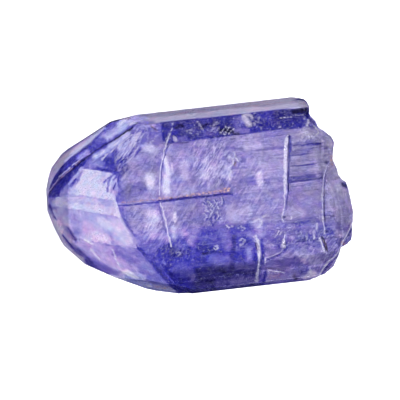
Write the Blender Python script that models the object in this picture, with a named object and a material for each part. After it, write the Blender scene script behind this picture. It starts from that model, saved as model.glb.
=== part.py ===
"""Rough tanzanite: one crystal of blue-violet zoisite, grown to a roof-shaped end at -X and broken across at +X.

The prism is a length of its cross-section. Each face of the grown end is a plane that takes a slice off it.
The broken end and the grooves of the top face are cut with Booleans.
Run with: blender --background --python part.py
"""

import math

import bmesh
import bpy
from mathutils import Vector, noise

MM = 0.001

# Driving dimensions in millimetres. While it is made, the crystal's tip is near the origin, +X runs along the
# prism to the broken end, and the prism's large top face lies at z = 0.
THICKNESS = 10.8
PRISM_START_X = -2.0
PRISM_END_X = 34.0
TOP_FACE_UPPER_Y = 4.63
TOP_FACE_LOWER_Y = -4.10
FLANK_UPPER_Y = 7.80
FLANK_LOWER_Y = -10.66

# The top half of the cross-section as (y, z), from the upper flank's widest line across to the lower one's.
SECTION_TOP = [
    (FLANK_UPPER_Y, -5.60),
    (7.30, -3.50),
    (6.62, -1.61),
    (5.84, -0.84),
    (TOP_FACE_UPPER_Y, 0.0),
    (TOP_FACE_LOWER_Y, 0.0),
    (-6.75, -0.37),
    (-10.25, -2.10),
    (FLANK_LOWER_Y, -3.40),
]
# The rest of it, from the lower flank round the back and up to the upper flank, with small growth ledges.
SECTION_BACK = [
    (FLANK_LOWER_Y, -4.60), (-10.57, -4.66), (-10.52, -5.90), (-9.98, -7.12), (-9.86, -7.16), (-9.16, -8.62),
    (-7.80, -9.70), (-7.70, -9.66), (-6.20, -THICKNESS), (4.90, -THICKNESS), (5.98, -9.52), (6.09, -9.50),
    (7.15, -8.16), (7.44, -6.96), (7.54, -6.92),
]

# The faces of the grown end. Each is a name, the bearing that it faces seen from above, its lean from facing
# straight up, both in degrees, and a point on it.
END_FACES = [
    ("upper roof", 169.0, 37.0, (6.93, -0.58, 0.0)),
    ("upper roof, outer", 127.5, 44.5, (10.92, 4.82, 0.0)),
    ("ridge, upper strip", 187.7, 38.7, (7.00, -1.10, 0.0)),
    ("ridge, lower strip", 194.3, 40.5, (7.28, -2.20, 0.0)),
    ("lower roof", 205.8, 44.4, (8.65, -5.50, -0.20)),
    ("lower roof, outer", 229.5, 59.0, (12.58, -10.45, -2.18)),
    ("upper shoulder", 123.0, 57.0, (3.60, 3.85, -3.60)),
    ("upper shoulder, tip", 143.0, 58.5, (0.90, 1.72, -4.80)),
    ("tip", 157.0, 68.5, (0.0, 0.0, -5.20)),
    ("upper rim", 127.5, 70.0, (3.80, 5.75, -7.10)),
    ("upper edge 1", 100.0, 86.0, (8.70, 7.62, -6.0)),
    ("upper edge 2", 116.5, 86.0, (3.85, 5.77, -7.5)),
    ("upper edge 3", 137.0, 84.0, (1.55, 4.40, -7.2)),
    ("upper edge 4", 153.0, 84.0, (0.87, 3.60, -7.0)),
    ("upper edge 5", 163.0, 84.0, (0.30, 2.31, -6.8)),
    ("upper edge 6", 177.0, 84.0, (0.04, 0.80, -6.4)),
    ("lower edge 1", 198.0, 74.0, (0.42, -2.07, -6.8)),
    ("lower edge 2", 204.0, 72.0, (1.16, -4.10, -6.8)),
    ("lower edge 3", 228.0, 68.0, (2.30, -5.70, -7.7)),
    ("lower edge 4", 235.0, 68.0, (4.42, -7.38, -7.7)),
    ("lower edge 5", 242.0, 74.0, (6.56, -8.50, -7.1)),
    ("lower edge 6", 251.0, 78.0, (9.22, -9.66, -6.4)),
    ("lower edge 7", 258.5, 80.0, (11.80, -10.48, -5.4)),
    ("back upper roof", 168.0, 138.0, (0.20, 0.0, -7.4)),
    ("back lower roof", 206.0, 136.0, (0.70, -2.6, -7.8)),
    ("back upper shoulder", 122.0, 126.0, (3.85, 5.77, -8.4)),
    ("back lower shoulder", 232.0, 128.0, (3.40, -6.6, -8.3)),
    ("back ridge", 188.0, 128.0, (0.45, -1.4, -7.9)),
    ("back upper corner", 112.0, 132.0, (7.80, 6.3, -8.9)),
    ("back lower corner", 248.0, 124.0, (8.30, -9.0, -7.6)),
]

# The outline of the broken end seen from above, as (y, x) from the upper flank to the lower one.
BREAK_OUTLINE = [
    (7.90, 24.90), (7.78, 25.70), (7.65, 26.25), (7.49, 26.80), (7.07, 27.12), (6.54, 27.24), (5.91, 27.09),
    (5.43, 27.36), (5.00, 27.72), (4.49, 27.80), (4.04, 28.36), (3.31, 29.11), (2.77, 29.27), (1.96, 29.09),
    (1.14, 28.93), (0.61, 29.07), (0.08, 29.26), (-0.50, 29.32), (-0.92, 29.60), (-1.28, 30.00),
    (-2.13, 30.16), (-3.30, 30.28), (-4.33, 30.36), (-5.34, 30.20), (-6.24, 30.18), (-7.10, 29.92),
    (-7.50, 29.42), (-7.75, 28.82), (-8.50, 28.60), (-9.58, 28.03), (-10.18, 27.06), (-10.45, 26.20),
    (-10.80, 24.60),
]
# The top face's own edge along the lower part of the break. A thin layer below it reaches further out.
FRONT_LIP = [
    (-5.40, 30.20), (-6.43, 29.54), (-7.25, 28.94), (-8.09, 28.46), (-8.80, 27.86), (-9.36, 27.16),
    (-9.87, 26.58), (-10.30, 26.20), (-10.80, 24.60),
]
FRONT_LIP_DEPTH = 0.55
# How far the break steps back with depth, as (depth below the top surface, recess).
BREAK_STEPS = [
    (-2.0, 0.10), (0.0, 0.10), (0.15, 0.0), (1.3, 0.05), (1.5, 0.42), (2.9, 0.30), (3.1, 0.75), (4.6, 0.95),
    (4.9, 0.60), (6.6, 0.80), (6.9, 1.25), (8.4, 1.50), (8.7, 1.15), (10.2, 1.45), (13.0, 2.40),
]
BREAK_WAVINESS = 0.22
BREAK_ROUGHNESS = 0.07
BREAK_CELL = 0.34

# How far a groove's cutter rises above the surface, as a share of the groove's depth.
GROOVE_LIFT = 0.4
# The grooves of the top face. Each is a name, how far its bottom lies to the left of its line of travel as a
# share of its half width, and its points as (x, y, half width, depth).
GROOVES = [
    ("long iron-stained groove", 0.0, [
        (6.70, -0.98, 0.05, 0.05), (10.25, -1.01, 0.08, 0.08), (13.77, -1.03, 0.11, 0.11),
        (16.29, -0.98, 0.14, 0.13), (18.62, -0.93, 0.20, 0.15),
    ]),
    ("cross groove", 0.35, [
        (24.75, 4.06, 0.10, 0.08), (24.45, 2.95, 0.24, 0.22), (24.20, 1.58, 0.26, 0.24),
        (24.05, 0.08, 0.25, 0.24), (23.98, -1.42, 0.22, 0.20), (23.65, -2.89, 0.16, 0.14),
        (23.28, -4.46, 0.10, 0.06),
    ]),
    ("cross groove, lower end", 0.0, [
        (23.28, -5.83, 0.08, 0.07), (23.21, -6.57, 0.13, 0.11), (22.97, -7.20, 0.10, 0.09),
    ]),
    ("curved step", 0.4, [
        (22.72, -7.50, 0.07, 0.07), (22.49, -7.60, 0.09, 0.09), (22.10, -7.75, 0.09, 0.09),
        (21.55, -7.84, 0.08, 0.08), (21.10, -8.03, 0.05, 0.05),
    ]),
    ("lower cross groove", 0.5, [
        (20.23, -6.06, 0.07, 0.07), (20.53, -7.31, 0.15, 0.16), (20.46, -8.59, 0.16, 0.18),
        (20.08, -9.90, 0.11, 0.12),
    ]),
    ("brown crack", 0.5, [
        (26.88, -6.45, 0.10, 0.12), (27.04, -7.22, 0.17, 0.20), (27.22, -7.96, 0.07, 0.08),
    ]),
    ("slanting scratch", 0.0, [
        (21.15, -9.14, 0.05, 0.05), (21.69, -9.29, 0.08, 0.08), (22.33, -9.58, 0.05, 0.05),
    ]),
    ("right hairline", 0.0, [
        (28.30, 0.64, 0.04, 0.04), (27.85, -0.41, 0.06, 0.06), (27.63, -1.84, 0.06, 0.06),
        (27.33, -5.02, 0.06, 0.06), (27.38, -5.98, 0.04, 0.04),
    ]),
    ("left hairline", 0.0, [
        (13.00, 4.50, 0.05, 0.05), (12.27, 3.83, 0.06, 0.06), (11.90, 2.77, 0.06, 0.06),
        (11.62, 1.97, 0.06, 0.06), (11.28, -0.50, 0.06, 0.06),
    ]),
    ("left hairline, lower end", 0.0, [
        (11.29, -1.50, 0.05, 0.05), (11.45, -2.87, 0.06, 0.06), (11.63, -3.95, 0.05, 0.05),
    ]),
    ("growth line 1", -0.5, [(25.00, 2.93, 0.07, 0.04), (28.42, 2.87, 0.05, 0.03)]),
    ("growth line 2", -0.5, [(24.86, 1.91, 0.06, 0.04), (26.38, 1.89, 0.05, 0.03)]),
    ("growth line 3", -0.5, [(24.65, 0.89, 0.07, 0.04), (27.55, 0.91, 0.05, 0.03)]),
    ("growth line 4", 0.0, [(24.55, -0.50, 0.34, 0.05), (27.40, -0.50, 0.28, 0.05)]),
    ("growth line 5", 0.0, [(25.00, 2.38, 0.16, 0.04), (28.30, 2.40, 0.10, 0.03)]),
]


def direction(bearing, lean):
    """The outward normal of a face, from the bearing that it faces and its lean from facing straight up."""
    b, t = math.radians(bearing), math.radians(lean)
    return Vector((math.cos(b) * math.sin(t), math.sin(b) * math.sin(t), math.cos(t)))


def along(points, position):
    """The second value of a list of pairs at a position of the first, straight between the pairs."""
    pairs = sorted(points)
    if position <= pairs[0][0]:
        return pairs[0][1]
    for (a, value_a), (b, value_b) in zip(pairs, pairs[1:]):
        if position <= b:
            return value_a + (value_b - value_a) * (position - a) / (b - a)
    return pairs[-1][1]


def mesh_object(bm, name):
    bmesh.ops.recalc_face_normals(bm, faces=bm.faces)
    mesh = bpy.data.meshes.new(name)
    bm.to_mesh(mesh)
    bm.free()
    obj = bpy.data.objects.new(name, mesh)
    bpy.context.scene.collection.objects.link(obj)
    return obj


def slice_off(bm, point, normal):
    """Cuts away what lies outside a plane and closes the cut with one flat face."""
    geometry = bm.verts[:] + bm.edges[:] + bm.faces[:]
    cut = bmesh.ops.bisect_plane(
        bm, geom=geometry, dist=1e-7, plane_co=point, plane_no=normal, clear_outer=True
    )
    edges = [e for e in cut["geom_cut"] if isinstance(e, bmesh.types.BMEdge)]
    bmesh.ops.contextual_create(bm, geom=edges)


def crystal():
    """A length of the cross-section, with each face of the grown end sliced off it."""
    bm = bmesh.new()
    ring = [bm.verts.new(Vector((PRISM_START_X, y, z)) * MM) for y, z in SECTION_TOP + SECTION_BACK]
    end = bm.faces.new(ring)
    run = bmesh.ops.extrude_face_region(bm, geom=[end], use_keep_orig=True)
    moved = [v for v in run["geom"] if isinstance(v, bmesh.types.BMVert)]
    bmesh.ops.translate(bm, verts=moved, vec=Vector((PRISM_END_X - PRISM_START_X, 0, 0)) * MM)
    bmesh.ops.recalc_face_normals(bm, faces=bm.faces)
    for _, bearing, lean, point in END_FACES:
        slice_off(bm, Vector(point) * MM, direction(bearing, lean))
    return mesh_object(bm, "crystal")


def break_x(y, depth):
    """Where the broken surface lies along the prism, at a place across it and a depth below the top surface."""
    x = along(BREAK_OUTLINE, y)
    if depth < FRONT_LIP_DEPTH and y < FRONT_LIP[0][0]:
        x = min(x, along(FRONT_LIP, y))
    wave = noise.noise(Vector((0.45 * y, 0.55 * depth, 1.7)))
    rough = noise.noise(Vector((2.3 * y, 2.6 * depth, 5.2)))
    shifted = depth + 1.2 * noise.noise(Vector((0.5 * y, 0.0, 9.1))) * min(1.0, max(0.0, depth - 0.4))
    inside = min(1.0, max(0.0, depth) / 0.8)
    return x - along(BREAK_STEPS, shifted) - inside * (BREAK_WAVINESS * (1 + wave) + BREAK_ROUGHNESS * rough)


def break_cutter():
    """A solid whose near side is the broken surface, as a grid that follows the top surface down."""
    columns = int((FLANK_UPPER_Y - FLANK_LOWER_Y + 1.4) / BREAK_CELL)
    across = {y for y, _ in BREAK_OUTLINE[1:-1]}
    across |= {FLANK_UPPER_Y + 0.7 - BREAK_CELL * i for i in range(columns + 1)}
    kept = []
    for y in sorted(across, reverse=True):
        if not kept or kept[-1] - y > 0.4 * BREAK_CELL:
            kept.append(y)
    depths = [-2.0, 0.0, 0.15, 0.35, FRONT_LIP_DEPTH - 0.02, FRONT_LIP_DEPTH + 0.02]
    while depths[-1] < THICKNESS + 1.5:
        depths.append(depths[-1] + BREAK_CELL)
    bm = bmesh.new()
    rows = []
    for depth in depths:
        row = []
        for y in kept:
            top = along(SECTION_TOP, y)
            row.append(bm.verts.new(Vector((break_x(y, depth), y, top - depth)) * MM))
        rows.append(row)
    sheet = []
    for upper, lower in zip(rows, rows[1:]):
        for i in range(len(kept) - 1):
            sheet.append(bm.faces.new((upper[i], upper[i + 1], lower[i + 1], lower[i])))
    far = bmesh.ops.extrude_face_region(bm, geom=sheet, use_keep_orig=True)
    for v in far["geom"]:
        if isinstance(v, bmesh.types.BMVert):
            v.co.x = (PRISM_END_X + 2.0) * MM
    return mesh_object(bm, "break cutter")


def add_groove(bm, skew, points):
    """One V-shaped trench along a line of points on the top surface, open above it."""
    rings = []
    for i, (x, y, half_width, depth) in enumerate(points):
        before = points[max(0, i - 1)]
        after = points[min(len(points) - 1, i + 1)]
        run = Vector((after[0] - before[0], after[1] - before[1], 0.0)).normalized()
        side = Vector((-run.y, run.x, 0.0))
        open_share = 1.0 + GROOVE_LIFT
        open_height = GROOVE_LIFT * depth
        ring = []
        for share, height in ((-open_share, open_height), (open_share, open_height), (skew, -depth)):
            place = Vector((x, y, 0.0)) + side * (share * half_width)
            place.z = along(SECTION_TOP, place.y) + height
            ring.append(bm.verts.new(place * MM))
        rings.append(ring)
    bm.faces.new(rings[0])
    bm.faces.new(rings[-1])
    for a, b in zip(rings, rings[1:]):
        for k in range(3):
            bm.faces.new((a[k], a[(k + 1) % 3], b[(k + 1) % 3], b[k]))


def groove_cutter():
    bm = bmesh.new()
    for _, skew, points in GROOVES:
        add_groove(bm, skew, points)
    return mesh_object(bm, "groove cutter")


def cut_with(obj, cutter):
    cutter.hide_render = True
    cutter.display_type = "WIRE"
    modifier = obj.modifiers.new(cutter.name, "BOOLEAN")
    modifier.operation = "DIFFERENCE"
    modifier.solver = "EXACT"
    modifier.object = cutter


def seat(obj, cutters):
    """Moves the meshes so that the crystal rests on the ground with the middle of its box over the origin."""
    bpy.context.view_layer.update()
    solid = obj.evaluated_get(bpy.context.evaluated_depsgraph_get()).to_mesh()
    xs = [v.co.x for v in solid.vertices]
    ys = [v.co.y for v in solid.vertices]
    zs = [v.co.z for v in solid.vertices]
    middle = Vector(((min(xs) + max(xs)) / 2, (min(ys) + max(ys)) / 2, min(zs)))
    for each in [obj] + cutters:
        for v in each.data.vertices:
            v.co -= middle


def tanzanite():
    material = bpy.data.materials.new("tanzanite")
    material.use_nodes = True
    shader = material.node_tree.nodes["Principled BSDF"]
    shader.inputs["Base Color"].default_value = (0.22, 0.18, 0.62, 1.0)
    shader.inputs["Roughness"].default_value = 0.12
    shader.inputs["Transmission Weight"].default_value = 0.8
    shader.inputs["IOR"].default_value = 1.69
    return material


for old in list(bpy.data.objects):
    bpy.data.objects.remove(old)
stone = crystal()
cutters = [break_cutter(), groove_cutter()]
for cutter in cutters:
    cut_with(stone, cutter)
seat(stone, cutters)
stone.data.materials.append(tanzanite())
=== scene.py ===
import math

import bmesh
import bpy
import numpy as np
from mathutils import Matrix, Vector, noise


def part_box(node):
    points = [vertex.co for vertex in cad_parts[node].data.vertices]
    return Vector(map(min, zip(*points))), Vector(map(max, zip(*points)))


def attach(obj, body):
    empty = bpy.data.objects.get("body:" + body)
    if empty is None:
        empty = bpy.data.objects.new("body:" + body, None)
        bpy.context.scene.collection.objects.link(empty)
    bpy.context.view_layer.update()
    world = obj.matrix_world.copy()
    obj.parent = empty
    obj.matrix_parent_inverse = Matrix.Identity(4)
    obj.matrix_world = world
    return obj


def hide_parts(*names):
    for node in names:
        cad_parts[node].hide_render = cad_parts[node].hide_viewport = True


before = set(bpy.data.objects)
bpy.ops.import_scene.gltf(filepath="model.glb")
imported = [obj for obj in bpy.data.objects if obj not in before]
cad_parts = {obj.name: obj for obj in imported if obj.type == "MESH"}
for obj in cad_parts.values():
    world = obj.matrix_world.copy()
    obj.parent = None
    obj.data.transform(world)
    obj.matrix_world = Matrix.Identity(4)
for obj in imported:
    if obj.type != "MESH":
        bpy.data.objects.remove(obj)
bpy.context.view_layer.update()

# The stage: a pale lit floor that the crystal lies on, pale even surroundings, a faint soft light overhead
# and a stronger one at the right and front. The camera looks straight down on the large top face through a
# long lens, turned so that the crystal's length rises slightly to the right.
FLOOR_SIZE = 1.2
FLOOR_GAP = 0.00008
FLOOR_COLOR = (0.93, 0.93, 0.935)
FLOOR_ROUGHNESS = 0.9
FLOOR_SHINE = 0.1
FLOOR_GLOW = 0.82
SKY_COLOR = (0.96, 0.97, 1.0)
SKY_GLOW = 0.75
LIT_PLACE = (0, 0, 0)
OVERHEAD_PLACE = (0, 0, 0.5)
OVERHEAD_SIZE = 0.16
OVERHEAD_POWER = 0.03
SIDE_PLACE = (0.34, -0.26, 0.36)
SIDE_SIZE = 0.26
SIDE_POWER = 2.2
CAMERA_HEIGHT = 1.2
CAMERA_SEES_TO = 10
FRAMED_HEIGHT = 0.008
VIEW_CENTRE = (0.00014, 0.0)
VIEW_WIDTH = 0.040
SENSOR_WIDTH = 36
AXIS_RISE = math.radians(6.5)

bm = bmesh.new()
bmesh.ops.create_grid(bm, x_segments=1, y_segments=1, size=FLOOR_SIZE / 2)
bmesh.ops.translate(bm, verts=bm.verts, vec=(0, 0, -FLOOR_GAP))
floor_mesh = bpy.data.meshes.new("floor")
bm.to_mesh(floor_mesh)
bm.free()
floor = bpy.data.objects.new("floor", floor_mesh)
floor_mat = bpy.data.materials.new("pale_floor")
floor_mat.use_nodes = True
floor_shader = floor_mat.node_tree.nodes["Principled BSDF"]
floor_shader.inputs["Base Color"].default_value = (*FLOOR_COLOR, 1)
floor_shader.inputs["Roughness"].default_value = FLOOR_ROUGHNESS
floor_shader.inputs["Specular IOR Level"].default_value = FLOOR_SHINE
floor_shader.inputs["Emission Color"].default_value = (1, 1, 1, 1)
floor_shader.inputs["Emission Strength"].default_value = FLOOR_GLOW
floor_mesh.materials.append(floor_mat)
bpy.context.scene.collection.objects.link(floor)
floor.visible_glossy = False

world = bpy.data.worlds.new("soft_surroundings")
bpy.context.scene.world = world
world.use_nodes = True
world.node_tree.nodes["Background"].inputs["Color"].default_value = (*SKY_COLOR, 1)
world.node_tree.nodes["Background"].inputs["Strength"].default_value = SKY_GLOW
world.cycles_visibility.glossy = False


def soft_light(name, place, size, power):
    """A round soft light that shines on LIT_PLACE."""
    data = bpy.data.lights.new(name, "AREA")
    data.shape = "DISK"
    data.size = size
    data.energy = power
    lamp = bpy.data.objects.new(name, data)
    lamp.location = place
    lamp.rotation_euler = (Vector(LIT_PLACE) - Vector(place)).to_track_quat("-Z", "Y").to_euler()
    lamp.visible_camera = False
    bpy.context.scene.collection.objects.link(lamp)


soft_light("overhead", OVERHEAD_PLACE, OVERHEAD_SIZE, OVERHEAD_POWER)
soft_light("right_front", SIDE_PLACE, SIDE_SIZE, SIDE_POWER)

camera_data = bpy.data.cameras.new("camera")
camera = bpy.data.objects.new("camera", camera_data)
camera.location = (*VIEW_CENTRE, CAMERA_HEIGHT)
camera.rotation_euler = (0, 0, -AXIS_RISE)
camera_data.sensor_width = SENSOR_WIDTH
camera_data.lens = SENSOR_WIDTH * (CAMERA_HEIGHT - FRAMED_HEIGHT) / VIEW_WIDTH
camera_data.clip_end = CAMERA_SEES_TO
bpy.context.scene.collection.objects.link(camera)
bpy.context.scene.camera = camera
bpy.context.scene.view_settings.view_transform = "Standard"

# The crystal: one prism of blue-violet zoisite, clear inside and etched outside, grown to a roof at the left
# and broken off in steps at the right. It is a finely divided copy of the solid, pressed in a little by its
# relief. One see-through material shows its marks, its growth bands and the tones seen through it. Among
# these tones and marks are painted light and shade: painted glints, glows and highlights, and painted
# shadows.

# Its marks are placed in the frame of the photograph that looks straight down on the top face: 400 points a
# side, ten to the millimetre, with the crystal's tip at TIP_PX. They reach only what faces up.
MM = 0.001
TIP_PX = (47.0, 203.0)
TIP = (-15.097, 1.43)
PX_PER_MM = 10.0


def in_photo(place):
    """Where points of the crystal, in mm, are seen in the photograph."""
    along = (place[:, 0] - TIP[0]) * PX_PER_MM
    across = (place[:, 1] - TIP[1]) * PX_PER_MM
    right = TIP_PX[0] + along * math.cos(AXIS_RISE) - across * math.sin(AXIS_RISE)
    down = TIP_PX[1] - along * math.sin(AXIS_RISE) - across * math.cos(AXIS_RISE)
    return np.stack((right, down), axis=1)


def near_line(seen, points, reach):
    """Which points of the surface lie within reach mm of a line seen from above, and how far away."""
    line = np.array(points, dtype=float)
    low_corner = line.min(axis=0) - reach * PX_PER_MM
    high_corner = line.max(axis=0) + reach * PX_PER_MM
    which = np.nonzero(np.all((seen > low_corner) & (seen < high_corner), axis=1))[0]
    spots = seen[which]
    away = np.full(len(which), 1e9)
    for a, b in zip(line, line[1:] if len(line) > 1 else line):
        run = b - a
        reached = np.clip(((spots - a) @ run) / max(run @ run, 1e-9), 0, 1)
        away = np.minimum(away, np.hypot(*(spots - a - reached[:, None] * run).T))
    return which, away / PX_PER_MM
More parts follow.
